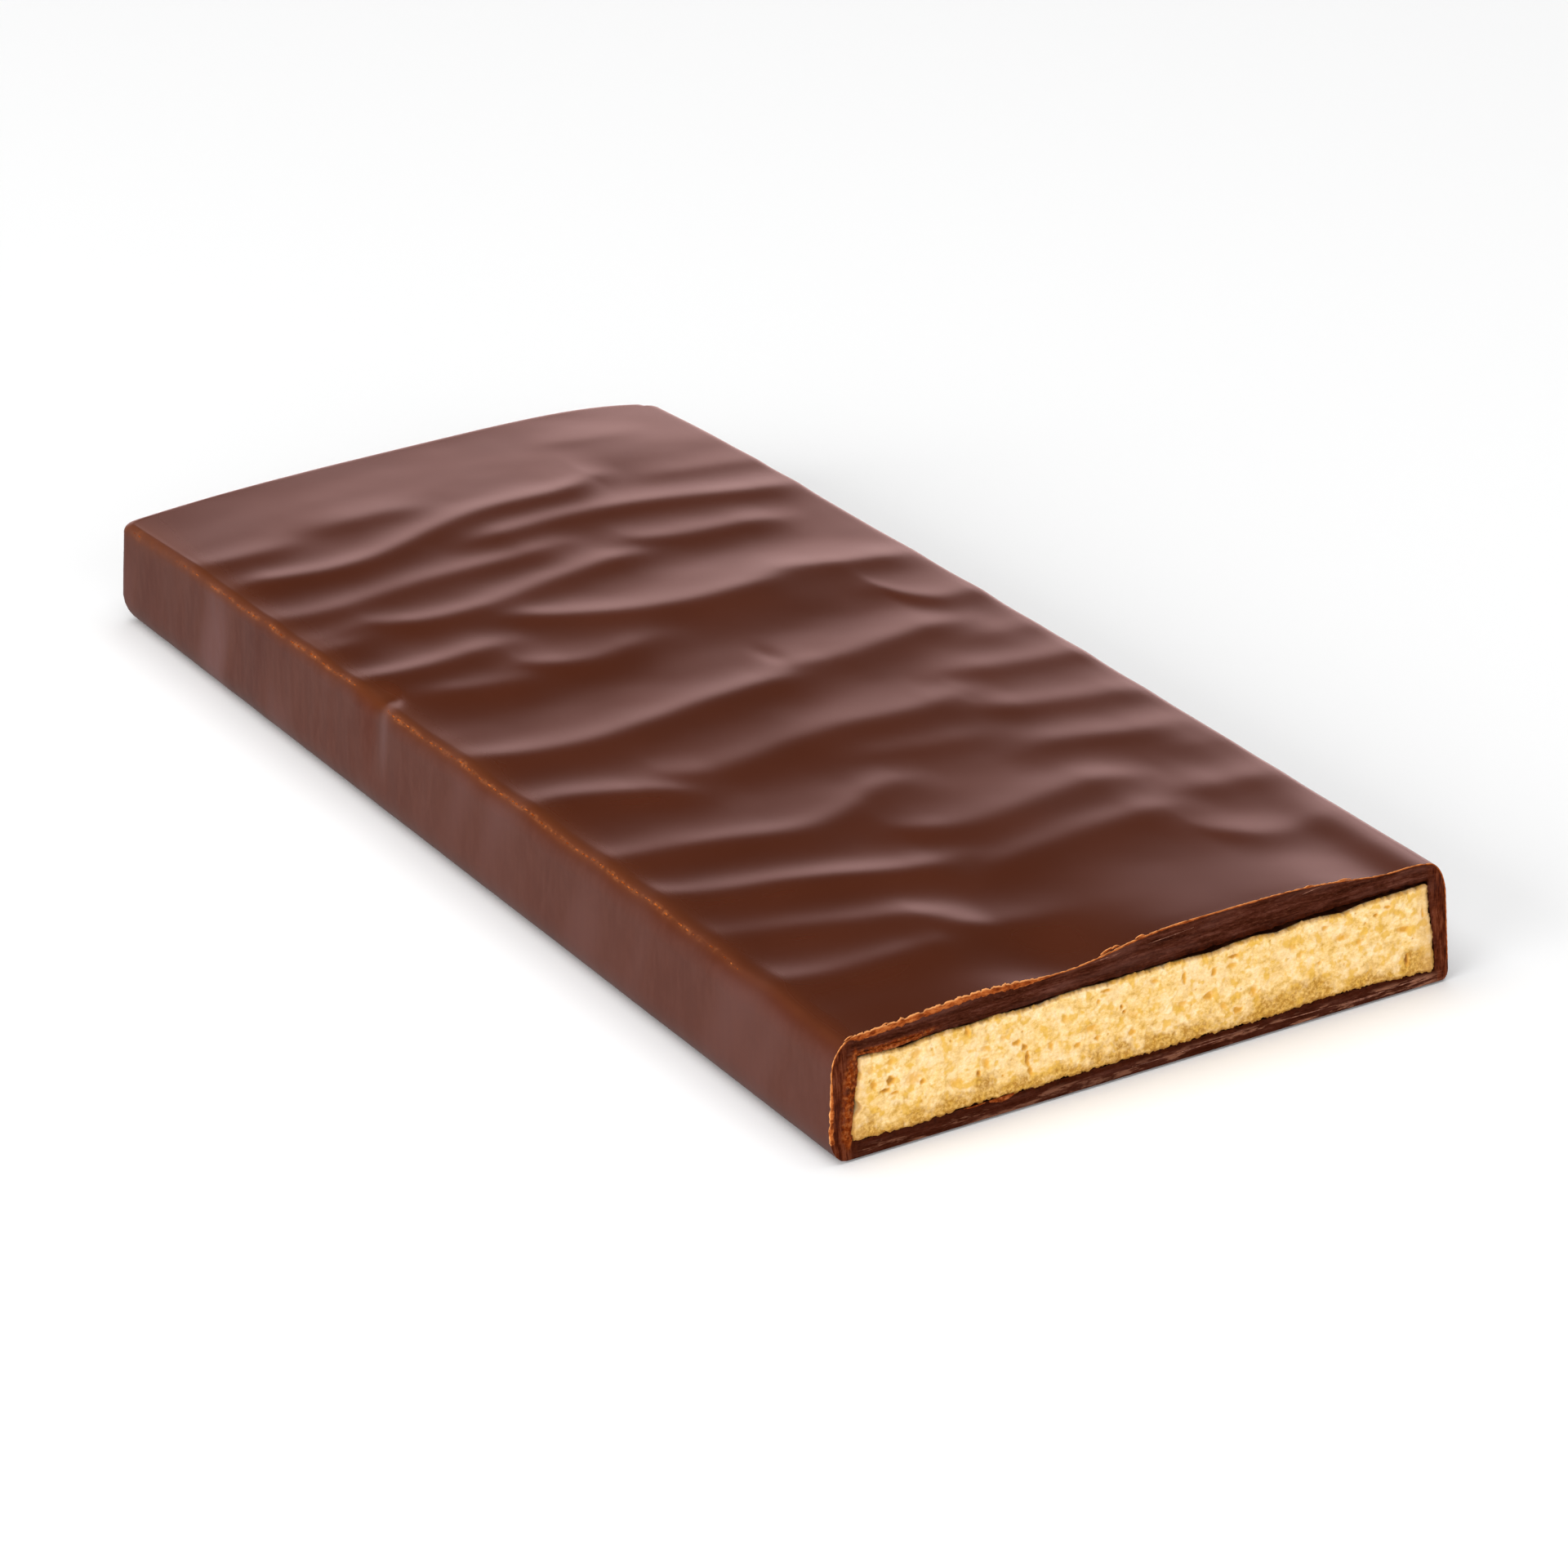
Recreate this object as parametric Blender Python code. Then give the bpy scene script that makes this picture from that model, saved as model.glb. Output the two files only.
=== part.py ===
"""A flat filled chocolate bar, cut straight across at its near end.

A dark coat with a rippled top wraps a pale crumb filling on the top, the bottom, both long sides
and the far end. The cut end is open and shows the filling inside the coat. +X runs across the bar,
+Y runs from the cut end to the far end and +Z is up. The origin is the middle of the resting face.
"""

import math
from typing import NamedTuple

import bmesh
import bpy
import numpy as np

MM = 0.001

# Driving dimensions of the bar, in metres
LENGTH = 0.1311
WIDTH = 0.0559
EDGE_HEIGHT = 0.0099
CROWN = 0.0008

# The coat round the filling
TOP_COAT = 0.00165
BOTTOM_COAT = 0.00135
LEFT_COAT = 0.0021
RIGHT_COAT = 0.0016
FAR_COAT = 0.0040

# How the coat's edges are rounded, as pairs for the left and the right side
SHOULDER_WIDTHS = (0.0028, 0.0017)
WALL_LEANS = (0.0004, 0.0001)
FOOT_WIDTHS = (0.0014, 0.0006)
FOOT_HEIGHTS = (0.0024, 0.0009)
SHOULDER_DROP = 0.0030
SHOULDER_START = math.radians(5)
SHOULDER_TAPER = 0.6
FAR_SHOULDER_WIDTH = 0.0018
FAR_LEAN = 0.0005

# The plan outline: both sides draw in towards the far end, the right side bows out on its way,
# and the far edge falls back to both corners, more at the top than at the foot
LEFT_DRAW_IN = 0.0005
RIGHT_DRAW_IN = 0.0004
RIGHT_BOW = 0.0008
CORNER_CUTS = (0.0003, 0.0026)
CORNER_POWERS = (2, 6)
CORNER_SHARE_AT_FOOT = 0.4
FAR_FALL = 0.00045
FAR_FALL_REACH = 0.018

# A dent in the left shoulder, where a fold runs down the side
DENT_Y = 0.0125
DENT_REACH = 0.0018
DENT_DEPTH = 0.00042

# The filling: its clearance to the coat, and the crumb's relief at the cut
GAP = 0.0003
FILLING_CORNER = 0.0009
FILLING_SET_BACK = 0.0002
CRUMB_RELIEF = 0.00016
FAR_NARROWING = 0.86
FAR_NARROWING_REACH = 0.004

# How finely each surface is divided
TOP_CELLS_ACROSS = 26
TOP_CELLS_ALONG = 98
SHOULDER_STEPS = 3
FOOT_STEPS = 2
FILLING_CELLS_ACROSS = 40
FILLING_CELLS_UP = 6
OPENING_STEPS = 14


class Ripple(NamedTuple):
    """One wave across the top, in millimetres: its ends in x, its crest's y at even steps, its rise."""

    left: float
    right: float
    crest: tuple
    rise: float


class Swell(NamedTuple):
    """A broad rise or hollow of the top, in millimetres: its middle, its reach each way, its rise.

    A higher power makes it flatter across its middle and steeper at both sides.
    """

    x: float
    y: float
    reach_x: float
    reach_y: float
    rise: float
    power: int = 2


class Ring(NamedTuple):
    """One ring of points down the wall, as shares of the edge sizes above.

    shoulder, lean and foot say how far in the ring lies. drop is its share of the shoulder's drop,
    and height its share of the foot's height, with None for the one that doesn't hold there.
    """

    shoulder: float
    lean: float
    foot: float
    drop: float | None
    height: float | None


# The waves of the top: how far each falls off in front of and behind its crest, how round the
# crest is, and how it fades at its ends
RIPPLE_FRONT = 1.6
RIPPLE_BACK = 2.0
RIPPLE_CREST = 2.0
RIPPLE_END_FADE = 7.0
RIPPLE_SIZES = (1.12, 0.95)
RIM_FADE = 2.4
FAR_RIM_FADE = 3.0

RIPPLES = (
    Ripple(-28.0, -19.0, (-61.0, -61.8, -62.6), 0.15),
    Ripple(-28.0, -10.5, (-53.2, -56.4, -57.1, -57.2), 0.40),
    Ripple(-28.0, -10.0, (-44.1, -47.1, -49.9, -52.1), 0.30),
    Ripple(-12.0, -3.0, (-52.9, -56.9, -57.4), 0.29),
    Ripple(-28.0, -4.0, (-32.9, -38.8, -41.0, -43.8, -44.4), 0.40),
    Ripple(-28.0, 0.0, (-25.7, -29.2, -31.0, -32.8, -31.4, -29.0), 0.33),
    Ripple(-5.5, 15.0, (-36.8, -39.9, -39.6, -38.5, -38.4), 0.27),
    Ripple(-4.0, 15.0, (-48.2, -46.8, -46.2, -45.4), 0.31),
    Ripple(11.0, 24.5, (-29.6, -29.7, -30.8, -30.5), 0.24),
    Ripple(17.0, 26.0, (-43.5, -43.9, -43.1), 0.20),
    Ripple(14.0, 25.5, (-50.2, -54.1, -54.1, -52.4), 0.15),
    Ripple(20.5, 28.0, (-35.0, -35.4), 0.08),
    Ripple(-2.0, 10.5, (-22.0, -23.3, -24.4, -24.4), 0.15),
    Ripple(12.0, 27.0, (-19.8, -21.8, -22.5, -22.8), 0.21),
    Ripple(-28.0, -14.0, (-15.4, -15.8, -18.2, -20.8), 0.40),
    Ripple(-15.0, 13.0, (-16.5, -18.3, -17.1, -17.5, -16.0), 0.27),
    Ripple(-28.0, 4.5, (-1.8, -6.1, -7.3, -6.5, -5.6, -5.5), 0.35),
    Ripple(4.0, 21.0, (-3.2, -3.8, -2.7, -2.1), 0.26),
    Ripple(14.0, 28.0, (-11.8, -13.0, -13.3, -13.1), 0.21),
    Ripple(19.5, 28.0, (-6.3, -6.1, -5.3), 0.13),
    Ripple(-28.0, -24.0, (1.8, 1.2), 0.10),
    Ripple(-24.0, -13.5, (11.0, 8.4, 7.6), 0.26),
    Ripple(-14.0, -2.0, (10.9, 8.0, 7.9, 9.2), 0.25),
    Ripple(-28.0, -13.0, (17.7, 15.6, 15.2, 15.8), 0.32),
    Ripple(-11.0, 14.0, (20.8, 17.0, 14.4, 13.8, 14.8), 0.29),
    Ripple(13.5, 26.0, (16.2, 15.1, 14.2, 14.4), 0.23),
    Ripple(19.0, 28.0, (8.2, 3.5, 3.4, 3.0), 0.23),
    Ripple(-28.0, -21.5, (24.9, 23.8, 24.3), 0.28),
    Ripple(-28.0, -20.0, (27.2, 27.0, 27.2), 0.12),
    Ripple(-20.5, 6.5, (26.7, 23.7, 24.5, 26.1, 26.7), 0.28),
    Ripple(6.5, 20.0, (30.4, 28.3, 28.0, 27.6), 0.22),
    Ripple(-28.0, 1.0, (34.6, 31.6, 32.1, 32.2, 33.0), 0.24),
    Ripple(-5.0, 26.0, (38.0, 38.1, 37.6, 35.6, 35.0), 0.27),
    Ripple(-26.0, 11.0, (41.7, 39.7, 40.4, 43.3, 44.0, 46.2), 0.32),
    Ripple(15.0, 28.0, (43.0, 42.6, 41.6), 0.10),
    Ripple(-28.0, -18.0, (49.3, 47.6, 47.5), 0.19),
    Ripple(-14.0, -5.5, (49.2, 49.1, 49.0), 0.13),
    Ripple(12.0, 19.0, (56.4, 55.4, 55.0), 0.07),
)

SWELLS = (
    Swell(8.4, -69.0, 11.2, 11.0, 0.60, 4),
    Swell(8.4, -66.0, 11.2, 34.0, 0.28, 4),
    Swell(-7.0, -65.0, 4.5, 5.0, -0.42),
    Swell(-15.0, -67.0, 4.0, 9.0, 0.15),
    Swell(-22.0, -66.0, 5.0, 16.0, -0.15),
    Swell(24.6, -66.0, 2.2, 12.0, 0.32),
    Swell(-9.0, -61.0, 7.0, 4.0, -0.09),
    Swell(8.0, 14.0, 13.0, 7.0, 0.20),
    Swell(5.0, -37.0, 9.0, 7.0, 0.13),
    Swell(6.0, -16.0, 9.0, 6.0, 0.10),
    Swell(-9.0, -22.0, 8.0, 4.5, -0.12),
    Swell(-15.0, 3.5, 10.0, 4.5, -0.13),
    Swell(9.0, 5.0, 8.0, 4.5, -0.12),
    Swell(11.0, 23.5, 7.0, 4.0, -0.10),
    Swell(4.0, 0.2, 0.9, 2.6, -0.06),
)


def smooth_step(value):
    """A rise from 0 to 1 with no kink at either end."""
    held = np.clip(value, 0.0, 1.0)
    return held * held * (3.0 - 2.0 * held)


def between(pair, across):
    """A size that goes from its left value to its right one, for across in -1 to 1."""
    left, right = pair
    return left + (right - left) * (across + 1) / 2


def ripple_relief(ripple, x, y):
    """Height in millimetres of one wave at a place. It fades at an end that doesn't reach the rim."""
    reach = (ripple.right - ripple.left) / 2
    along = (x - ripple.left) / reach - 1.0
    steps = np.linspace(-1.0, 1.0, len(ripple.crest))
    crest_line = np.polyfit(steps, ripple.crest, len(ripple.crest) - 1)
    behind = y - np.polyval(crest_line, np.clip(along, -1.0, 1.0))
    near, far = RIPPLE_SIZES
    size = near + (far - near) * smooth_step((y + 20.0) / 50.0)
    fall = np.where(behind < 0.0, RIPPLE_FRONT, RIPPLE_BACK) * size
    round_by = RIPPLE_CREST * size
    away = np.hypot(behind, round_by) - round_by
    height = ripple.rise * np.exp(-away / fall)
    if ripple.left > -WIDTH / MM / 2:
        height = height * smooth_step((x - ripple.left) / RIPPLE_END_FADE + 0.5)
    if ripple.right < WIDTH / MM / 2:
        height = height * smooth_step((ripple.right - x) / RIPPLE_END_FADE + 0.5)
    return height


def top_relief(x, y):
    """Height in metres that ripples and swells add to the smooth top."""
    x_mm = x / MM
    y_mm = y / MM
    relief = sum(ripple_relief(ripple, x_mm, y_mm) for ripple in RIPPLES)
    for swell in SWELLS:
        away = np.abs((x_mm - swell.x) / swell.reach_x) ** swell.power
        away = away + ((y_mm - swell.y) / swell.reach_y) ** 2
        relief = relief + swell.rise * np.exp(-away)
    to_side = (WIDTH / 2 - np.abs(x)) / MM
    to_end = (LENGTH / 2 - y) / MM
    return relief * MM * smooth_step(to_side / RIM_FADE) * smooth_step(to_end / FAR_RIM_FADE)


def top_height(x, y):
    """The top surface: a low crown, lower towards the far end, with its ripples."""
    crown = CROWN * (1.0 - np.abs(2 * x / WIDTH) ** 3)
    fall = FAR_FALL * smooth_step((y - LENGTH / 2) / FAR_FALL_REACH + 1.0)
    return EDGE_HEIGHT + crown - fall + top_relief(x, y)


def dent(across, y):
    """How deep the dent in the left shoulder is at a place."""
    beside = smooth_step((-across - 0.93) / 0.07)
    return DENT_DEPTH * beside * math.exp(-(((y - DENT_Y) / DENT_REACH) ** 2))


def shoulder_size(across, y):
    """What is left of the shoulder's rounding: the left one sharpens towards the far end."""
    return 1.0 - SHOULDER_TAPER * (y / LENGTH + 0.5) * (1.0 - across) / 2


def plan_point(across, along, ring):
    """Place on the plan, for across in -1 to 1 and along in 0 to 1, on one ring of the wall."""
    lean = between(WALL_LEANS, across)
    end_inset = ring.lean * FAR_LEAN + ring.foot * between(FOOT_WIDTHS, across)
    end_inset += ring.shoulder * (FAR_SHOULDER_WIDTH - FAR_LEAN)
    side = 0 if across < 0 else 1
    worn = CORNER_SHARE_AT_FOOT + (1 - CORNER_SHARE_AT_FOOT) * ring.lean
    cut_back = worn * CORNER_CUTS[side] * abs(across) ** CORNER_POWERS[side]
    y = -LENGTH / 2 + along * (LENGTH - end_inset - cut_back)
    side_inset = ring.lean * lean + ring.foot * between(FOOT_WIDTHS, across)
    shoulder = between(SHOULDER_WIDTHS, across) * shoulder_size(across, y)
    side_inset += ring.shoulder * (shoulder - lean)
    dented = dent(across, y) if ring.height is None else 0.0
    q = 2 * y / LENGTH
    right = WIDTH / 2 - RIGHT_BOW * q**2 - RIGHT_DRAW_IN * q - side_inset
    left = -WIDTH / 2 + LEFT_DRAW_IN * (q + 1) / 2 + dented + side_inset
    return left + (right - left) * (across + 1) / 2, y


def wall_rings():
    """The rings down the wall, from just below the top's rim to the resting face."""
    rings = []
    for step in range(1, SHOULDER_STEPS + 1):
        angle = SHOULDER_START + (math.pi / 2 - SHOULDER_START) * step / SHOULDER_STEPS
        inward = (1 - math.sin(angle)) / (1 - math.sin(SHOULDER_START))
        drop = 1 - math.cos(angle) / math.cos(SHOULDER_START)
        rings.append(Ring(inward, 1.0, 0.0, drop, None))
    for step in range(FOOT_STEPS + 1):
        angle = math.pi / 2 * step / FOOT_STEPS
        rings.append(Ring(0.0, 0.0, 1 - math.cos(angle), None, 1 - math.sin(angle)))
    return rings


RIM = Ring(1.0, 1.0, 0.0, 0.0, None)


def closer_at_ends(value):
    """Moves even steps from -1 to 1 closer together near both ends."""
    return math.sin(value * math.pi / 2) * 0.35 + value * 0.65


def filling_point(across, up, grow, y):
    """Place in the filling's cross-section, for across in -1 to 1 and up in 0 to 1."""
    left = -WIDTH / 2 + LEFT_COAT - grow
    right = WIDTH / 2 - RIGHT_BOW + RIGHT_DRAW_IN - RIGHT_COAT + grow
    bottom = BOTTOM_COAT - grow
    top = EDGE_HEIGHT - TOP_COAT + grow
    x = left + (right - left) * (across + 1) / 2
    z = bottom + (top - bottom) * up
    corner = FILLING_CORNER
    centre_x = min(max(x, left + corner), right - corner)
    centre_z = min(max(z, bottom + corner), top - corner)
    off_x = x - centre_x
    off_z = z - centre_z
    off = math.hypot(off_x, off_z)
    if off > corner and off_x and off_z:
        x = centre_x + off_x * corner / off
        z = centre_z + off_z * corner / off
    return x, y, z


def finish(name, mesh, colour, roughness):
    """Turns an edit mesh into a named object with its own material."""
    bmesh.ops.recalc_face_normals(mesh, faces=mesh.faces)
    data = bpy.data.meshes.new(name)
    mesh.to_mesh(data)
    mesh.free()
    data.shade_smooth()
    data.set_sharp_from_angle(angle=math.radians(50))
    material = bpy.data.materials.new(name)
    material.use_nodes = True
    shader = material.node_tree.nodes["Principled BSDF"]
    shader.inputs["Base Color"].default_value = (*colour, 1.0)
    shader.inputs["Roughness"].default_value = roughness
    data.materials.append(material)
    node = bpy.data.objects.new(name, data)
    bpy.context.scene.collection.objects.link(node)
    return node


def extrude_rim(mesh, rim):
    """Extrudes a rim of edges in place, and gives the new rim."""
    made = bmesh.ops.extrude_edge_only(mesh, edges=rim)["geom"]
    return [item for item in made if isinstance(item, bmesh.types.BMEdge)]


def points_of(rim):
    return {vert for edge in rim for vert in edge.verts}


def carry_to_far_end(mesh, rim, end):
    """Carries a rim in the plane of the cut back through the bar, narrows it and closes it."""
    for y, share in ((end - FAR_NARROWING_REACH, 1.0), (end, FAR_NARROWING)):
        rim = extrude_rim(mesh, rim)
        for vert in points_of(rim):
            vert.co = (vert.co.x * share, y, vert.co.z)
    bmesh.ops.holes_fill(mesh, edges=rim, sides=0)


def opening_loop(mesh):
    """The closed loop of edges round the filling's place, in the plane of the cut."""
    even = [-1 + 2 * step / OPENING_STEPS for step in range(1, OPENING_STEPS)]
    across_steps = [-1.0, -0.985, *even, 0.985, 1.0]
    up_steps = [0.06, 0.5, 0.94]
    path = [(across, 0.0) for across in across_steps]
    path += [(1.0, up) for up in up_steps]
    path += [(across, 1.0) for across in reversed(across_steps)]
    path += [(-1.0, up) for up in reversed(up_steps)]
    corners = [mesh.verts.new(filling_point(across, up, GAP, -LENGTH / 2)) for across, up in path]
    return [mesh.edges.new((corners[i - 1], corners[i])) for i in range(len(corners))]


def rippled_top(mesh):
    """The top as a grid inside its rim. Gives each point's place across and along the bar."""
    bmesh.ops.create_grid(mesh, x_segments=TOP_CELLS_ACROSS, y_segments=TOP_CELLS_ALONG, size=1.0)
    place = {vert: (closer_at_ends(vert.co.x), (vert.co.y + 1) / 2) for vert in mesh.verts}
    for vert, (across, along) in place.items():
        x, y = plan_point(across, along, RIM)
        vert.co = (x, y, top_height(x, y) - dent(across, y))
    return place


def wall_down(mesh, place):
    """Carries the rim down the two sides and the far end. Gives the last ring, at the foot."""
    rim = [
        edge
        for edge in mesh.edges
        if edge.is_boundary and any(place[vert][1] > 0.0 for vert in edge.verts)
    ]
    for ring in wall_rings():
        where = {tuple(vert.co): place[vert] for vert in points_of(rim)}
        rim = extrude_rim(mesh, rim)
        for vert in points_of(rim):
            across, along = place[vert] = where[tuple(vert.co)]
            x, y = plan_point(across, along, ring)
            if ring.height is None:
                rim_x, rim_y = plan_point(across, along, RIM)
                top = top_height(rim_x, rim_y) - dent(across, rim_y)
                vert.co = (x, y, top - SHOULDER_DROP * shoulder_size(across, y) * ring.drop)
            else:
                vert.co = (x, y, between(FOOT_HEIGHTS, across) * ring.height)
    return rim


def make_coat():
    mesh = bmesh.new()
    place = rippled_top(mesh)
    foot = wall_down(mesh, place)
    foot_ends = [vert for vert in points_of(foot) if place[vert][1] == 0.0]
    foot.append(mesh.edges.new(foot_ends))
    bmesh.ops.holes_fill(mesh, edges=foot, sides=0)
    cut_outline = [edge for edge in mesh.edges if edge.is_boundary]
    opening = opening_loop(mesh)
    bmesh.ops.triangle_fill(mesh, use_beauty=True, edges=cut_outline + opening)
    carry_to_far_end(mesh, opening, LENGTH / 2 - FAR_COAT)
    return finish("chocolate_coat", mesh, (0.055, 0.016, 0.009), 0.38)


def crumb(x, z):
    """Uneven relief of the filling's cut face, from -1 to 1."""
    x_mm = x / MM
    z_mm = z / MM
    broad = math.sin(1.9 * x_mm + 1.3 * math.sin(1.1 * z_mm)) * math.cos(1.7 * z_mm + 0.6 * x_mm)
    fine = math.sin(4.3 * x_mm + 2.1 * z_mm) * math.sin(3.1 * z_mm - 1.4 * x_mm)
    return 0.6 * broad + 0.4 * fine


def make_filling():
    mesh = bmesh.new()
    bmesh.ops.create_grid(
        mesh, x_segments=FILLING_CELLS_ACROSS, y_segments=FILLING_CELLS_UP, size=1.0
    )
    front = -LENGTH / 2 + FILLING_SET_BACK + CRUMB_RELIEF
    for vert in mesh.verts:
        x, y, z = filling_point(vert.co.x, (vert.co.y + 1) / 2, 0.0, front)
        vert.co = (x, y + CRUMB_RELIEF * crumb(x, z), z)
    rim = [edge for edge in mesh.edges if edge.is_boundary]
    carry_to_far_end(mesh, rim, LENGTH / 2 - FAR_COAT - GAP)
    return finish("filling", mesh, (0.86, 0.62, 0.25), 0.85)


def clear_scene():
    for thing in list(bpy.data.objects):
        bpy.data.objects.remove(thing, do_unlink=True)


clear_scene()
make_coat()
make_filling()
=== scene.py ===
"""The looks of a flat filled chocolate bar with a rippled top, cut across at its near end.

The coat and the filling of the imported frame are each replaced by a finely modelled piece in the
same place. Small pieces on the cut carry what the knife left: a broken lip with curls, smears and
thin ridges. A scuffed line runs along the left shoulder. Sizes are in millimetres, and points are
turned into metres where they go into a mesh.
"""

import math
from typing import NamedTuple

import bmesh
import bpy
import numpy as np
from mathutils import Euler, Matrix, Vector, noise


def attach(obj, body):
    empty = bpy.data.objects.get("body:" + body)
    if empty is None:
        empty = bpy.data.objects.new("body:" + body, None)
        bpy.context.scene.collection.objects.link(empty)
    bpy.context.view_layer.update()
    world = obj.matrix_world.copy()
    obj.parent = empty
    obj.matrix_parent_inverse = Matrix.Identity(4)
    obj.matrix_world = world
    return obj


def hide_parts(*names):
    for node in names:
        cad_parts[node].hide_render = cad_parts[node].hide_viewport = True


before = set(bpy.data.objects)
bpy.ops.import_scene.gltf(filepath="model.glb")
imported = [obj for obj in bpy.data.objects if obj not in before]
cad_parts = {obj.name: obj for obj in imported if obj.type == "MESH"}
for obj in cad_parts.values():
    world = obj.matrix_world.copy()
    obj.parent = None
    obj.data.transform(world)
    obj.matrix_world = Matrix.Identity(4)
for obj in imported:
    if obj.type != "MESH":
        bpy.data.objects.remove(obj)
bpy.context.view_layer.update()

MM = 0.001

# The bar's outer sizes and the roundings of its edges, as pairs for the left and the right side
LENGTH = 131.1
WIDTH = 55.9
EDGE_HEIGHT = 9.9
CROWN = 0.8
SHOULDER_WIDTHS = (2.8, 1.7)
WALL_LEANS = (0.4, 0.1)
FOOT_WIDTHS = (1.4, 0.6)
FOOT_HEIGHTS = (2.4, 0.9)
SHOULDER_DROP = 3.0
SHOULDER_START = math.radians(5)
SHOULDER_TAPER = 0.6
FAR_SHOULDER_WIDTH = 1.8
FAR_LEAN = 0.5
FAR_FLOOR = 4.0

# The plan outline
LEFT_DRAW_IN = 0.5
RIGHT_DRAW_IN = 0.4
RIGHT_BOW = 0.8
CORNER_CUTS = (0.3, 2.6)
CORNER_POWERS = (2, 6)
CORNER_SHARE_AT_FOOT = 0.4
CORNER_RADIUS = 0.9
FAR_FALL = 0.45
FAR_FALL_REACH = 18.0

# The dent in the left shoulder, where a fold runs down the side
DENT_Y = 12.5
DENT_REACH = 1.8
DENT_DEPTH = 0.42
DENT_START = 0.93

# How far the looks keep below the part's top, so that faint unevenness stays inside it, and the
# height that no bead on the cut goes over
TOP_CLEARANCE = 0.02
HIGHEST = 11.49

# How far the coat's cut face stands behind the plane of the cut, which the lip reaches
CUT_PLANE = -LENGTH / 2
CUT_SET_BACK = 0.1

# The last share of the half width and of the length, over which the wall's relief sets in at the
# side and at the far end, and a length that counts as none
SIDE_SHARE = 0.03
END_SHARE = 0.015
TINY = 1e-6

# The faint unevenness of the top and how far from the ends it fades, and the wall's relief: its mean
# depth, its upright flutes and its broad waves
TOP_UNEVENNESS = 0.012
UNEVEN_FADE = 2.0
WALL_DEPTH = 0.07
FLUTE_DEPTH = 0.035
WALL_WAVE_DEPTH = 0.05

# How finely the coat is divided
TOP_COLUMNS = 138
TOP_ROWS = 360
SHOULDER_RINGS = 12
WALL_RINGS = 9
FOOT_RINGS = 5
CUT_RINGS = 22

# The filling's cut face: how finely it is divided, how high it is against its width, how far behind
# the plane of the cut it stands, and the notch in its left edge
CRUMB_COLUMNS = 640
CRUMB_ROWS = 86
CRUMB_HEIGHT_SHARE = 0.133
CRUMB_SET_BACK = 0.04
NOTCH_Z = 3.9
NOTCH_REACH = 0.45
NOTCH_DEPTH = 0.5

# How deep the crumb's grains, waves, roughness and pores are, how far its rim falls back, and how far
# its top and foot and its sides are ragged
GRAIN_DEPTH = 0.14
CRUMB_WAVE_DEPTH = 0.05
ROUGH_DEPTH = 0.03
PORE_DEPTH = 0.3
RIM_DEPTH = 0.14
CRUMB_RAGGED = 0.21
CRUMB_RAGGED_SIDES = 0.2

# How far behind the cut the rings of the filling's sides lie, and how much smaller they are
FILLING_STEPS = (0.5, LENGTH - FAR_FLOOR - 0.4)
FILLING_SHRINK = 0.05


class Ripple(NamedTuple):
    """One wave across the top: its ends in x, its crest's y at even steps, its rise."""

    left: float
    right: float
    crest: tuple
    rise: float


class Swell(NamedTuple):
    """A broad rise or hollow of the top: its middle, its reach each way, its rise.

    A higher power makes it flatter across its middle and steeper at both sides.
    """

    x: float
    y: float
    reach_x: float
    reach_y: float
    rise: float
    power: int = 2


class Pore(NamedTuple):
    """A hollow in the crumb at the cut: its middle, its half sizes, and how deep it is."""

    x: float
    z: float
    half_x: float
    half_z: float
    depth: float


class Ring(NamedTuple):
    """One ring of points down the wall, as shares of the edge sizes above.

    shoulder, lean and foot say how far in the ring lies. drop is its share of the shoulder's drop,
    and height its share of the foot's height. fall goes from 0 to 1 down the wall between them.
    """

    shoulder: float = 0.0
    lean: float = 0.0
    foot: float = 0.0
    drop: float = 1.0
    height: float = 1.0
    fall: float = 0.0


# The waves of the top: how far each falls off in front of and behind its crest, how round the
# crest is, how it fades at its ends, and how much larger all this is near the cut than far from it
RIPPLE_FRONT = 1.6
RIPPLE_BACK = 2.0
RIPPLE_CREST = 2.0
RIPPLE_END_FADE = 7.0
RIPPLE_SIZES = (1.12, 0.95)
RIPPLE_SIZE_SPAN = (-20.0, 30.0)
RIM_FADE = 2.4
FAR_RIM_FADE = 3.0

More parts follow.
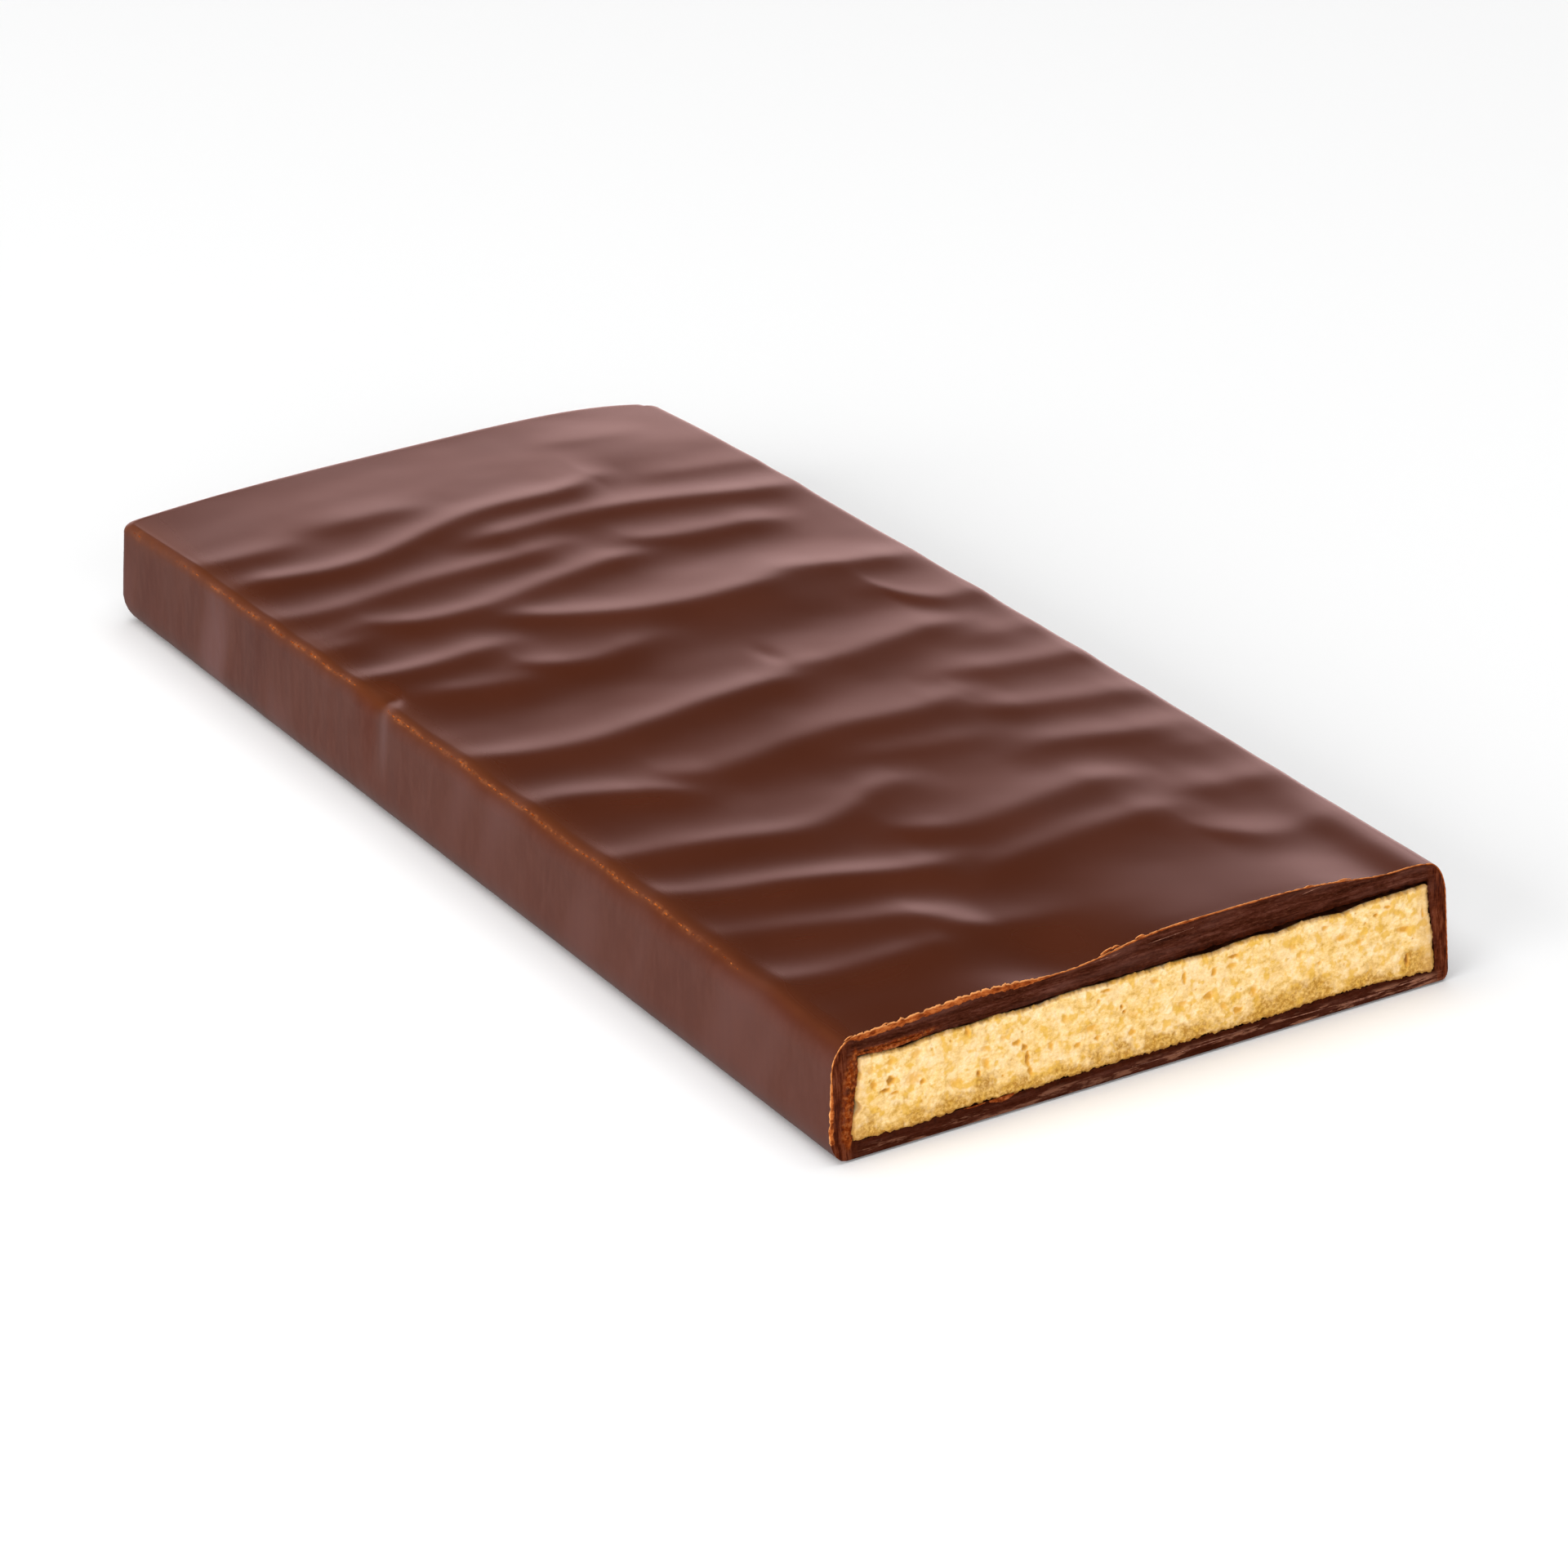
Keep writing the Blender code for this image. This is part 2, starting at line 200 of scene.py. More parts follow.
RIPPLES = (
    Ripple(-28, -19, (-61, -61.8, -62.6), 0.15),
    Ripple(-28, -10.5, (-53.2, -56.4, -57.1, -57.2), 0.4),
    Ripple(-28, -10, (-44.1, -47.1, -49.9, -52.1), 0.3),
    Ripple(-12, -3, (-52.9, -56.9, -57.4), 0.29),
    Ripple(-28, -4, (-32.9, -38.8, -41, -43.8, -44.4), 0.4),
    Ripple(-28, 0, (-25.7, -29.2, -31, -32.8, -31.4, -29), 0.33),
    Ripple(-5.5, 15, (-36.8, -39.9, -39.6, -38.5, -38.4), 0.27),
    Ripple(-4, 15, (-48.2, -46.8, -46.2, -45.4), 0.31),
    Ripple(11, 24.5, (-29.6, -29.7, -30.8, -30.5), 0.24),
    Ripple(17, 26, (-43.5, -43.9, -43.1), 0.2),
    Ripple(14, 25.5, (-50.2, -54.1, -54.1, -52.4), 0.15),
    Ripple(20.5, 28, (-35, -35.4), 0.08),
    Ripple(-2, 10.5, (-22, -23.3, -24.4, -24.4), 0.15),
    Ripple(12, 27, (-19.8, -21.8, -22.5, -22.8), 0.21),
    Ripple(-28, -14, (-15.4, -15.8, -18.2, -20.8), 0.4),
    Ripple(-15, 13, (-16.5, -18.3, -17.1, -17.5, -16), 0.27),
    Ripple(-28, 4.5, (-1.8, -6.1, -7.3, -6.5, -5.6, -5.5), 0.35),
    Ripple(4, 21, (-3.2, -3.8, -2.7, -2.1), 0.26),
    Ripple(14, 28, (-11.8, -13, -13.3, -13.1), 0.21),
    Ripple(19.5, 28, (-6.3, -6.1, -5.3), 0.13),
    Ripple(-28, -24, (1.8, 1.2), 0.1),
    Ripple(-24, -13.5, (11, 8.4, 7.6), 0.26),
    Ripple(-14, -2, (10.9, 8, 7.9, 9.2), 0.25),
    Ripple(-28, -13, (17.7, 15.6, 15.2, 15.8), 0.32),
    Ripple(-11, 14, (20.8, 17, 14.4, 13.8, 14.8), 0.29),
    Ripple(13.5, 26, (16.2, 15.1, 14.2, 14.4), 0.23),
    Ripple(19, 28, (8.2, 3.5, 3.4, 3), 0.23),
    Ripple(-28, -21.5, (24.9, 23.8, 24.3), 0.28),
    Ripple(-28, -20, (27.2, 27, 27.2), 0.12),
    Ripple(-20.5, 6.5, (26.7, 23.7, 24.5, 26.1, 26.7), 0.28),
    Ripple(6.5, 20, (30.4, 28.3, 28, 27.6), 0.22),
    Ripple(-28, 1, (34.6, 31.6, 32.1, 32.2, 33), 0.24),
    Ripple(-5, 26, (38, 38.1, 37.6, 35.6, 35), 0.27),
    Ripple(-26, 11, (41.7, 39.7, 40.4, 43.3, 44, 46.2), 0.32),
    Ripple(15, 28, (43, 42.6, 41.6), 0.1),
    Ripple(-28, -18, (49.3, 47.6, 47.5), 0.19),
    Ripple(-14, -5.5, (49.2, 49.1, 49), 0.13),
    Ripple(12, 19, (56.4, 55.4, 55), 0.07),
)

SWELLS = (
    Swell(8.4, -69, 11.2, 11, 0.6, 4),
    Swell(8.4, -66, 11.2, 34, 0.28, 4),
    Swell(-7, -65, 4.5, 5, -0.42),
    Swell(-15, -67, 4, 9, 0.15),
    Swell(-22, -66, 5, 16, -0.15),
    Swell(24.6, -66, 2.2, 12, 0.32),
    Swell(-9, -61, 7, 4, -0.09),
    Swell(8, 14, 13, 7, 0.2),
    Swell(5, -37, 9, 7, 0.13),
    Swell(6, -16, 9, 6, 0.1),
    Swell(-9, -22, 8, 4.5, -0.12),
    Swell(-15, 3.5, 10, 4.5, -0.13),
    Swell(9, 5, 8, 4.5, -0.12),
    Swell(11, 23.5, 7, 4, -0.1),
    Swell(4, 0.2, 0.9, 2.6, -0.06),
)

# The filling's outline at the cut, and the coat's edge above it, as heights or places at even steps
FILLING_LEFT = -25.85
FILLING_RIGHT = 26.25
FILLING_TOP = (8.1, 8, 7.8, 8.05, 8.12, 8, 8.18, 8.05, 8, 8.22, 8.28, 8.15, 8.22, 8.2, 8.25,
               8.18, 8.05, 8.28, 8.35, 8.1, 8.38, 8.35, 8.12, 8.38, 8.42, 8.45, 8.48)
FILLING_FOOT = (1.4, 1.2, 1.4, 1.3, 1.35, 1.3, 1.35, 1.2, 1.45, 1.3, 1)
LEFT_EDGE_IN = (0, 0.1, 0.4, 0.7, 0.85)
RIGHT_EDGE_IN = (0, 0.05, 0.2, 0.4, 0.55)
OPENING_TOP = (8.22, 8.18, 8.24, 8.34, 8.45, 8.45, 8.55, 8.65, 8.75, 8.85, 8.8)
OPENING_MARGIN = 0.02
FAR_NARROWING = 0.93


# Shape of the bar


def smooth_step(value):
    """A rise from 0 to 1 with no kink at either end."""
    held = np.clip(value, 0.0, 1.0)
    return held * held * (3.0 - 2.0 * held)


def rise(value, start, end):
    """A smooth rise from 0 where a value is at start to 1 where it is at end."""
    return smooth_step((value - start) / (end - start))


def bell(value, reach):
    """1 where a value is 0, and less on both sides, with little left past twice the reach."""
    return np.exp(-((value / reach) ** 2))


def blend(pair, share):
    """A size that goes from the first of a pair to the second, for share in 0 to 1."""
    first, second = pair
    return first + (second - first) * share


def between(pair, across):
    """A size that goes from its left value to its right one, for across in -1 to 1."""
    return blend(pair, (across + 1) / 2)


def ripple_relief(ripple, x, y):
    """Height of one wave at a place. It fades at an end that doesn't reach the rim."""
    reach = (ripple.right - ripple.left) / 2
    along = (x - ripple.left) / reach - 1.0
    steps = np.linspace(-1.0, 1.0, len(ripple.crest))
    crest_line = np.polyfit(steps, ripple.crest, len(ripple.crest) - 1)
    behind = y - np.polyval(crest_line, np.clip(along, -1.0, 1.0))
    size = blend(RIPPLE_SIZES, rise(y, *RIPPLE_SIZE_SPAN))
    fall = np.where(behind < 0.0, RIPPLE_FRONT, RIPPLE_BACK) * size
    round_by = RIPPLE_CREST * size
    away = np.hypot(behind, round_by) - round_by
    height = ripple.rise * np.exp(-away / fall)
    if ripple.left > -WIDTH / 2:
        height = height * smooth_step((x - ripple.left) / RIPPLE_END_FADE + 0.5)
    if ripple.right < WIDTH / 2:
        height = height * smooth_step((ripple.right - x) / RIPPLE_END_FADE + 0.5)
    return height


def top_relief(x, y):
    """Height that ripples and swells add to the smooth top."""
    relief = sum(ripple_relief(ripple, x, y) for ripple in RIPPLES)
    for swell in SWELLS:
        away = np.abs((x - swell.x) / swell.reach_x) ** swell.power
        away = away + ((y - swell.y) / swell.reach_y) ** 2
        relief = relief + swell.rise * np.exp(-away)
    to_side = WIDTH / 2 - np.abs(x)
    rim = smooth_step(to_side / RIM_FADE) * smooth_step((LENGTH / 2 - y) / FAR_RIM_FADE)
    return relief * rim


def top_height(x, y):
    """The top surface: a low crown, lower towards the far end, with its ripples."""
    crown = CROWN * (1.0 - np.abs(2 * x / WIDTH) ** 3)
    fall = FAR_FALL * smooth_step((y - LENGTH / 2) / FAR_FALL_REACH + 1.0)
    return EDGE_HEIGHT + crown - fall + top_relief(x, y)


def dent(across, y):
    """How deep the dent in the left shoulder is at a place."""
    return DENT_DEPTH * rise(-across, DENT_START, 1.0) * bell(y - DENT_Y, DENT_REACH)


def shoulder_size(across, y):
    """What is left of the shoulder's rounding: the left one sharpens towards the far end."""
    return 1.0 - SHOULDER_TAPER * (y / LENGTH + 0.5) * (1.0 - across) / 2


def far_inset(ring, across):
    """How far the far edge lies in from the bar's full length."""
    inset = ring.lean * FAR_LEAN + ring.foot * between(FOOT_WIDTHS, across)
    inset += ring.shoulder * (FAR_SHOULDER_WIDTH - FAR_LEAN)
    worn = CORNER_SHARE_AT_FOOT + (1 - CORNER_SHARE_AT_FOOT) * ring.lean
    cuts = np.where(across < 0, CORNER_CUTS[0], CORNER_CUTS[1])
    powers = np.where(across < 0, CORNER_POWERS[0], CORNER_POWERS[1])
    return inset + worn * cuts * np.abs(across) ** powers


def side_places(ring, y, across):
    """The x of the left and the right edge of a ring at a place along the bar."""
    lean = between(WALL_LEANS, across)
    inset = ring.lean * lean + ring.foot * between(FOOT_WIDTHS, across)
    shoulder = between(SHOULDER_WIDTHS, across) * shoulder_size(across, y)
    inset = inset + ring.shoulder * (shoulder - lean)
    off_middle = 2 * y / LENGTH
    left = -WIDTH / 2 + LEFT_DRAW_IN * (off_middle + 1) / 2 + inset
    left = left + dent(across, y) * (1.0 - ring.fall)
    right = WIDTH / 2 - RIGHT_BOW * off_middle**2 - RIGHT_DRAW_IN * off_middle - inset
    return left, right


def plan_point(across, along, ring):
    """Place on the plan, for across in -1 to 1 and along in 0 to 1, with rounded far corners."""
    y = -LENGTH / 2 + along * (LENGTH - far_inset(ring, across))
    x = between(side_places(ring, y, across), across)
    for side in (-1.0, 1.0):
        corner_y = LENGTH / 2 - far_inset(ring, np.float64(side))
        corner_x = side_places(ring, corner_y, np.float64(side))[0 if side < 0 else 1]
        off_x = (x - (corner_x - side * CORNER_RADIUS)) * side
        off_y = y - (corner_y - CORNER_RADIUS)
        off = np.maximum(np.hypot(off_x, off_y), TINY)
        outside = (off_x > 0) & (off_y > 0) & (off > CORNER_RADIUS)
        pull = np.where(outside, CORNER_RADIUS / off, 1.0)
        x = x + side * off_x * (pull - 1.0)
        y = y + off_y * (pull - 1.0)
    return x, y


RIM = Ring(shoulder=1.0, lean=1.0, drop=0.0)


def shoulder_ring(angle):
    """The ring where the shoulder has turned by an angle. It starts as steep as the crown's edge."""
    inward = (1.0 - math.sin(angle)) / (1.0 - math.sin(SHOULDER_START))
    drop = 1.0 - math.cos(angle) / math.cos(SHOULDER_START)
    return Ring(shoulder=inward, lean=1.0, drop=drop)


def wall_rings():
    """The rings from just below the top's rim to the resting face."""
    turn = (math.pi / 2 - SHOULDER_START) / SHOULDER_RINGS
    rings = [shoulder_ring(SHOULDER_START + turn * step) for step in range(1, SHOULDER_RINGS + 1)]
    for step in range(1, WALL_RINGS + 1):
        share = step / (WALL_RINGS + 1)
        rings.append(Ring(lean=1.0 - share, fall=share))
    for step in range(FOOT_RINGS + 1):
        angle = math.pi / 2 * step / FOOT_RINGS
        rings.append(Ring(foot=1.0 - math.cos(angle), height=1.0 - math.sin(angle), fall=1.0))
    return rings


def noise_at(x, y, z, size, seed):
    """Smooth noise from -1 to 1 at each place, with bumps of about this size."""
    places = np.column_stack([x, y, z]) / size + seed
    return np.array([noise.noise(place) for place in places.tolist()])


def face_noise(x, z, size, seed):
    """Noise at places of the cut."""
    return noise_at(x, 0 * x, z, size, seed)


def line_noise(along, size, seed):
    """Noise at places along a line."""
    return face_noise(along, 0 * along, size, seed)


def wall_relief(x, y, z, ring):
    """How far the wall lies in at a place: faint soft flutes that run down it, and broad waves."""
    flutes = noise_at(x, y, z * 0.15, 3.4, 11.0) + 0.5 * noise_at(x, y, z * 0.3, 1.4, 23.0)
    broad = noise_at(x, y, z * 0.6, 11.0, 37.0)
    amount = 0.5 + rise(y, -20.0, 40.0)
    inward = WALL_DEPTH + FLUTE_DEPTH * amount * flutes + WALL_WAVE_DEPTH * broad
    return np.maximum(inward, 0.0) * (1.0 - ring.shoulder) * (1.0 - ring.foot)


def shell_point(across, along, ring):
    """Place of a point of the coat's outside on one ring of the wall."""
    x, y = plan_point(across, along, ring)
    rim_x, rim_y = plan_point(across, along, RIM)
    top = top_height(rim_x, rim_y) - dent(across, rim_y)
    shoulder_z = top - SHOULDER_DROP * shoulder_size(across, y) * ring.drop
    foot_z = between(FOOT_HEIGHTS, across) * ring.height
    z = blend((shoulder_z, foot_z), ring.fall)
    inward = wall_relief(x, y, z, ring)
    on_side = np.maximum(1.0 - (1.0 - np.abs(across)) / SIDE_SHARE, 0.0)
    on_end = np.maximum(1.0 - (1.0 - along) / END_SHARE, 0.0)
    turn = np.maximum(np.hypot(on_side, on_end), TINY)
    x = x - np.sign(across) * inward * on_side / turn
    y = y - inward * on_end / turn
    return x, y, z


def top_point(across, along):
    """Place of a point of the top, with the faint unevenness of set chocolate."""
    x, y = plan_point(across, along, RIM)
    z = top_height(x, y) - dent(across, y)
    uneven = TOP_UNEVENNESS * noise_at(x, y, 0 * x, 4.0, 5.0)
    return x, y, z - TOP_CLEARANCE + uneven * rise(LENGTH / 2 - np.abs(y), 0.0, UNEVEN_FADE)


def at_even_steps(values, share):
    """A value from a short row of values at even steps, for share in 0 to 1."""
    return np.interp(share, np.linspace(0.0, 1.0, len(values)), values)


def section_point(across, up, top_row, margin):
    """Place in the section of the filling, for across in -1 to 1 and up in 0 to 1."""
    share = (across + 1) / 2
    foot = at_even_steps(FILLING_FOOT, share) - margin
    top = at_even_steps(top_row, share)
    left = FILLING_LEFT + at_even_steps(LEFT_EDGE_IN, up) - margin
    right = FILLING_RIGHT - at_even_steps(RIGHT_EDGE_IN, up) + margin
    return blend((left, right), share), blend((foot, top), up)


# Modelling helpers


# What each point keeps: its place on the grid, how far behind the cut it lies, and how far down
# the wall's rings
LAYERS = ("across", "along", "depth", "round")


def deselect():
    bpy.ops.object.select_all(action="DESELECT")


def read_layer(piece, name):
    """The values that a piece keeps on its points under a name."""
    values = np.empty(len(piece.data.vertices), np.float32)
    piece.data.attributes[name].data.foreach_get("value", values)
    return values


def keep_layer(piece, name, values):
    """Keeps values on a piece's points under a name."""
    layer = piece.data.attributes.new(name, "FLOAT", "POINT")
    layer.data.foreach_set("value", values.astype(np.float32))


def point_places(piece):
    """The x, y and z of a piece's points, in its mesh's own unit."""
    points = np.empty(len(piece.data.vertices) * 3)
    piece.data.vertices.foreach_get("co", points)
    return points.reshape(-1, 3).T


def add_grid(name, columns, rows):
    """A flat grid with its places across (-1 to 1) and along (0 to 1) kept on its points."""
    deselect()
    bpy.ops.mesh.primitive_grid_add(x_subdivisions=columns, y_subdivisions=rows, size=2.0)
    piece = bpy.context.active_object
    piece.name = name
    piece.data.name = name
    x, y, _ = point_places(piece)
    for layer, values in zip(LAYERS, (x, (y + 1) / 2, 0 * x, 0 * x)):
        keep_layer(piece, layer, values)
    return piece


def edit(piece, mode="EDGE"):
    """Enters edit mode with everything selected."""
    bpy.context.view_layer.objects.active = piece
    bpy.ops.object.mode_set(mode="EDIT")
    bpy.ops.mesh.select_mode(type=mode)
    bpy.ops.mesh.select_all(action="SELECT")


def leave_edit():
    bpy.ops.object.mode_set(mode="OBJECT")


def select_open_edges(piece, beyond=-1.0):
    """Selects the open edges that reach beyond a place along the grid."""
    mesh = bmesh.from_edit_mesh(piece.data)
    along = mesh.verts.layers.float["along"]
    bpy.ops.mesh.select_all(action="DESELECT")
    for edge in mesh.edges:
        if edge.is_boundary and any(vert[along] > beyond for vert in edge.verts):
            edge.select_set(True)
    mesh.select_flush_mode()
    bmesh.update_edit_mesh(piece.data)


def place_selected(piece, place, **marks):
    """Moves the selected points to place(layer values), and marks them with the given values."""
    mesh = bmesh.from_edit_mesh(piece.data)
    layers = mesh.verts.layers.float
    chosen = [vert for vert in mesh.verts if vert.select]
    values = {name: np.array([vert[layers[name]] for vert in chosen]) for name in LAYERS}
    points = np.column_stack(place(values)) * MM
    for vert, point in zip(chosen, points.tolist()):
        vert.co = point
        for name, value in marks.items():
            vert[layers[name]] = value
    bmesh.update_edit_mesh(piece.data)


def extrude_selected():
    bpy.ops.mesh.extrude_edges_move(TRANSFORM_OT_translate={"value": (0.0, 0.0, 0.0)})


def close_selected():
    bpy.ops.mesh.edge_face_add()


def finish_piece(piece, materials, smooth_angle, replaced=None):
    """Faces outward, smooth shading, materials and the piece's place in the part."""
    edit(piece, "FACE")
    bpy.ops.mesh.normals_make_consistent(inside=False)
    leave_edit()
    deselect()
    piece.select_set(True)
    bpy.context.view_layer.objects.active = piece
    bpy.ops.object.shade_smooth_by_angle(angle=math.radians(smooth_angle))
    for material in materials:
        piece.data.materials.append(material)
    if replaced:
        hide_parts(replaced)
    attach(piece, "root")
    deselect()


# The coat


# How far behind the cut the rings of the coat's inside lie, and how much wider they are than the
# opening
CAVITY_STEPS = ((0.35, 0.06), (1.2, 0.12), (4.0, 0.15), (LENGTH - FAR_FLOOR, 0.15))

# The coat's cut face: how deep its drag lines and waves are, from what share of the way to the
# opening it is crumbled, and how far the opening's sides and its top and foot are ragged
DRAG_DEPTH = 0.026
CUT_WAVE_DEPTH = 0.02
CRUMBLED_FROM = 0.7
RAGGED_SIDES = 0.13
RAGGED_TOP = 0.12

# The scuffed line: how far down the shoulder it runs near the cut and near the far end, in degrees
# from the top, between which places it moves down, and how far from the cut and from the far end it
# stops
SCUFF_ANGLES = (36.0, 52.0)
SCUFF_TURN = (14.0, 54.0)
SCUFF_ENDS = (0.4, 1.2)

# How wide the scuff and the warm rim above it are, along the bar and at the far corner, how wide the
# rim is on its outer side, and between which places the far corner starts
SCUFF_WIDTHS = (0.34, 0.84)
RIM_WIDTHS = (1.5, 2.3)
RIM_OUTER_WIDTH = 0.7
FAR_CORNER_SPAN = (44.0, 60.0)

# Up to what angle two faces are shaded as one, in degrees
COAT_SMOOTH_ANGLE = 38
CRUMB_SMOOTH_ANGLE = 180
BEAD_SMOOTH_ANGLE = 60


def cut_relief(x, z, into):
    """How far the coat's cut face lies behind its plane: knife drag, and a crumbled inner edge."""
    drag = face_noise(x / 14.0, z, 0.22, 3.0) + 0.6 * face_noise(x / 9.0, z, 0.11, 7.0)
    waves = face_noise(x, z, 2.5, 13.0)
    crumbled = rise(into, CRUMBLED_FROM, 1.0) * (0.16 + 0.14 * face_noise(x, z, 0.5, 17.0))
    return CUT_SET_BACK + DRAG_DEPTH * drag + CUT_WAVE_DEPTH * waves + np.maximum(crumbled, 0.0)


def opening_point(values):
    """Place in the opening's outline that a point of the cut's outline is carried to."""
    up = np.where(values["round"] <= 0.0, 1.0, 1.0 - values["round"])
    x, z = section_point(values["across"], up, OPENING_TOP, OPENING_MARGIN)
    ragged = face_noise(x, z, 0.55, 41.0) + 0.5 * face_noise(x, z, 0.2, 43.0)
    return x, z, ragged


def outline_point(values, rings):
    """Place on the cut's outer outline."""
    x = np.empty_like(values["across"])
    z = np.empty_like(x)
    steps = np.rint(values["round"] * len(rings)).astype(int)
    for step in np.unique(steps):
        here = steps == step
        across = values["across"][here]
        if step == 0:
            x[here], _, z[here] = top_point(across, 0 * across)
        else:
            x[here], _, z[here] = shell_point(across, 0 * across, rings[step - 1])
    return x, z


def cut_point(values, rings, into):
    """Place on the cut face, between its outer outline (into 0) and the opening (into 1)."""
    x0, z0 = outline_point(values, rings)
    x1, z1, ragged = opening_point(values)
    on_side = np.abs(values["across"]) >= 1.0
    x1 = x1 + RAGGED_SIDES * ragged * np.sign(x1) * on_side
    z1 = z1 + RAGGED_TOP * ragged * ~on_side
    x = blend((x0, x1), into)
    z = blend((z0, z1), into)
    return x, CUT_PLANE + cut_relief(x, z, into + 0 * x), z


def make_coat(materials):
    """The coat: its top is a grid whose open edge is drawn down the walls, then into the cut."""
    piece = add_grid("chocolate_coat_shell", TOP_COLUMNS, TOP_ROWS)
    rings = wall_rings()
    edit(piece)
    place_selected(piece, lambda at: top_point(at["across"], at["along"]))
    bpy.ops.mesh.quads_convert_to_tris(quad_method="FIXED")
    select_open_edges(piece, beyond=0.0)
    for step, ring in enumerate(rings, 1):
        extrude_selected()
        place_selected(
            piece,
            lambda at, ring=ring: shell_point(at["across"], at["along"], ring),
            round=step / len(rings),
        )
    close_foot(piece)
    set_outline_back(piece)
    for step in range(1, CUT_RINGS + 1):
        into = step / CUT_RINGS
        extrude_selected()
        place_selected(piece, lambda at, into=into: cut_point(at, rings, into), depth=into)
    for back, spread in CAVITY_STEPS:
        extrude_selected()
        place_selected(piece, lambda at, b=back, s=spread: cavity_point(at, b, s), depth=2.0)
    close_selected()
    leave_edit()
    mark_coat(piece)
    finish_piece(piece, materials, COAT_SMOOTH_ANGLE, replaced="chocolate_coat")
    depth = read_layer(piece, "depth")
    for face in piece.data.polygons:
        face.material_index = 1 if depth[list(face.vertices)].max() > 0.0 else 0


def close_foot(piece):
    """Closes the resting face, with an edge along the cut that is divided as the top is."""
    mesh = bmesh.from_edit_mesh(piece.data)
    along = mesh.verts.layers.float["along"]
    ends = [vert for vert in mesh.verts if vert.select and vert[along] == 0.0]
    foot = [edge for edge in mesh.edges if edge.select]
    made = mesh.edges.new(ends)
    divided = bmesh.ops.subdivide_edges(mesh, edges=[made], cuts=TOP_COLUMNS - 1)["geom_split"]
    foot += [item for item in divided if isinstance(item, bmesh.types.BMEdge)]
    bpy.ops.mesh.select_all(action="DESELECT")
    for edge in foot:
        edge.select_set(True)
    bmesh.update_edit_mesh(piece.data)
    close_selected()


def set_outline_back(piece):
    """Selects the outline of the cut and sets it in the plane of the coat's cut face."""
    select_open_edges(piece)
    mesh = bmesh.from_edit_mesh(piece.data)
    for vert in mesh.verts:
        if vert.select:
            vert.co.y = (CUT_PLANE + CUT_SET_BACK) * MM
    bmesh.update_edit_mesh(piece.data)


def cavity_point(values, back, spread):
    """Place on the wall of the coat's inside, some way behind the cut."""
    x, z, ragged = opening_point(values)
    on_side = np.abs(values["across"]) >= 1.0
    x = x + spread * np.sign(x) * on_side
    x = x * (FAR_NARROWING if back > LENGTH / 2 else 1.0)
    z = z + spread * np.where(values["round"] >= 1.0, -1.0, 1.0) * ~on_side
    y = CUT_PLANE + back + 0.1 * ragged * (back < 2.0)
    return x, y + 0 * x, z


def scuff_angle(y):
    """Where the scuffed line runs down the left shoulder, in degrees from the top."""
    return blend(SCUFF_ANGLES, rise(y, *SCUFF_TURN)) + 3.0 * line_noise(y, 3.0, 81.0)


def scuff_strength(y):
    """How strongly the shoulder is scuffed: weak near the cut and at the dent, broken all along."""
    broken = line_noise(y, 2.4, 91.0) + 0.5 * line_noise(y, 0.8, 97.0)
    span = rise(y, -62.0, -36.0) * (1.0 - 0.6 * rise(y, 34.0, 56.0))
    fold = 1.0 - bell(y - DENT_Y - 1.6, 2.4)
    return np.clip((0.35 + 0.65 * span) * fold * (0.8 + 0.6 * broken), 0.0, 1.2)


def scuff_line(spacing):
    """Places along the scuffed line on the left shoulder, and which way the shoulder faces there."""
    y = np.arange(CUT_PLANE + SCUFF_ENDS[0], LENGTH / 2 - SCUFF_ENDS[1], spacing)
    turns = np.radians(scuff_angle(y))
    places = []
    for share, turn in zip((y - CUT_PLANE) / LENGTH, turns):
        point = shell_point(np.array([-1.0]), np.array([share]), shoulder_ring(turn))
        places.append([value[0] for value in point])
    return np.array(places), np.column_stack([-np.sin(turns), 0 * y, np.cos(turns)])


def wall_bands(y, z):
    """Soft upright bands of bloom on the left wall, from -1 to 1, strongest towards the far end, with
    painted light and painted shade at the dent's fold.
    """
    slant = y + 0.3 * z
    bands = face_noise(slant, 0.3 * z, 7.0, 101.0) + 0.4 * face_noise(slant, 0.4 * z, 3.4, 103.0)
    # Painted light on one side of the dent's fold and painted shade on the other
    fold = bell(y - DENT_Y + 1.9, 1.0) - 0.8 * bell(y - DENT_Y - 1.4, 1.6)
    amount = 0.65 + 0.75 * rise(y, 5.0, 35.0)
    return np.clip(1.25 * amount * bands + 0.7 * fold * rise(z, 1.0, 6.0), -1.0, 1.0)


def cut_marks(layer, x, z):
    """Painted shade where the coat's cut face falls back towards the filling and inside the coat, and
    where its inner edge is smeared.
    """
    depth = layer["depth"]
    on_top = layer["round"] <= 0.0
    on_foot = layer["round"] >= 1.0
    on_left = (layer["across"] <= -1.0) & ~on_top & ~on_foot
    wander = face_noise(x, z, 1.1, 111.0) + 0.6 * face_noise(x, z, 0.4, 113.0)
    top = rise(depth - 0.06 * wander, 0.8, 0.94) * (0.62 + 0.38 * rise(x, -2.0, 4.0))
    top = top * (1.0 - 0.85 * rise(x, -18.5, -20.0))
    foot = 0.75 * rise(depth, 0.55, 0.95)
    side = 0.2 * rise(depth, 0.85, 1.0)
    recess_shade = np.where(on_top, top, np.where(on_foot, foot, side))
    under = rise(depth, 0.66, 0.82) * rise(x, -17.5, -19.5)
    smear = np.where(on_top, under, np.where(on_left, rise(depth, 0.35, 0.7), 0.0))
    return np.where(depth > 1.0, 1.0, recess_shade), np.where(depth > 1.0, 0.0, smear)


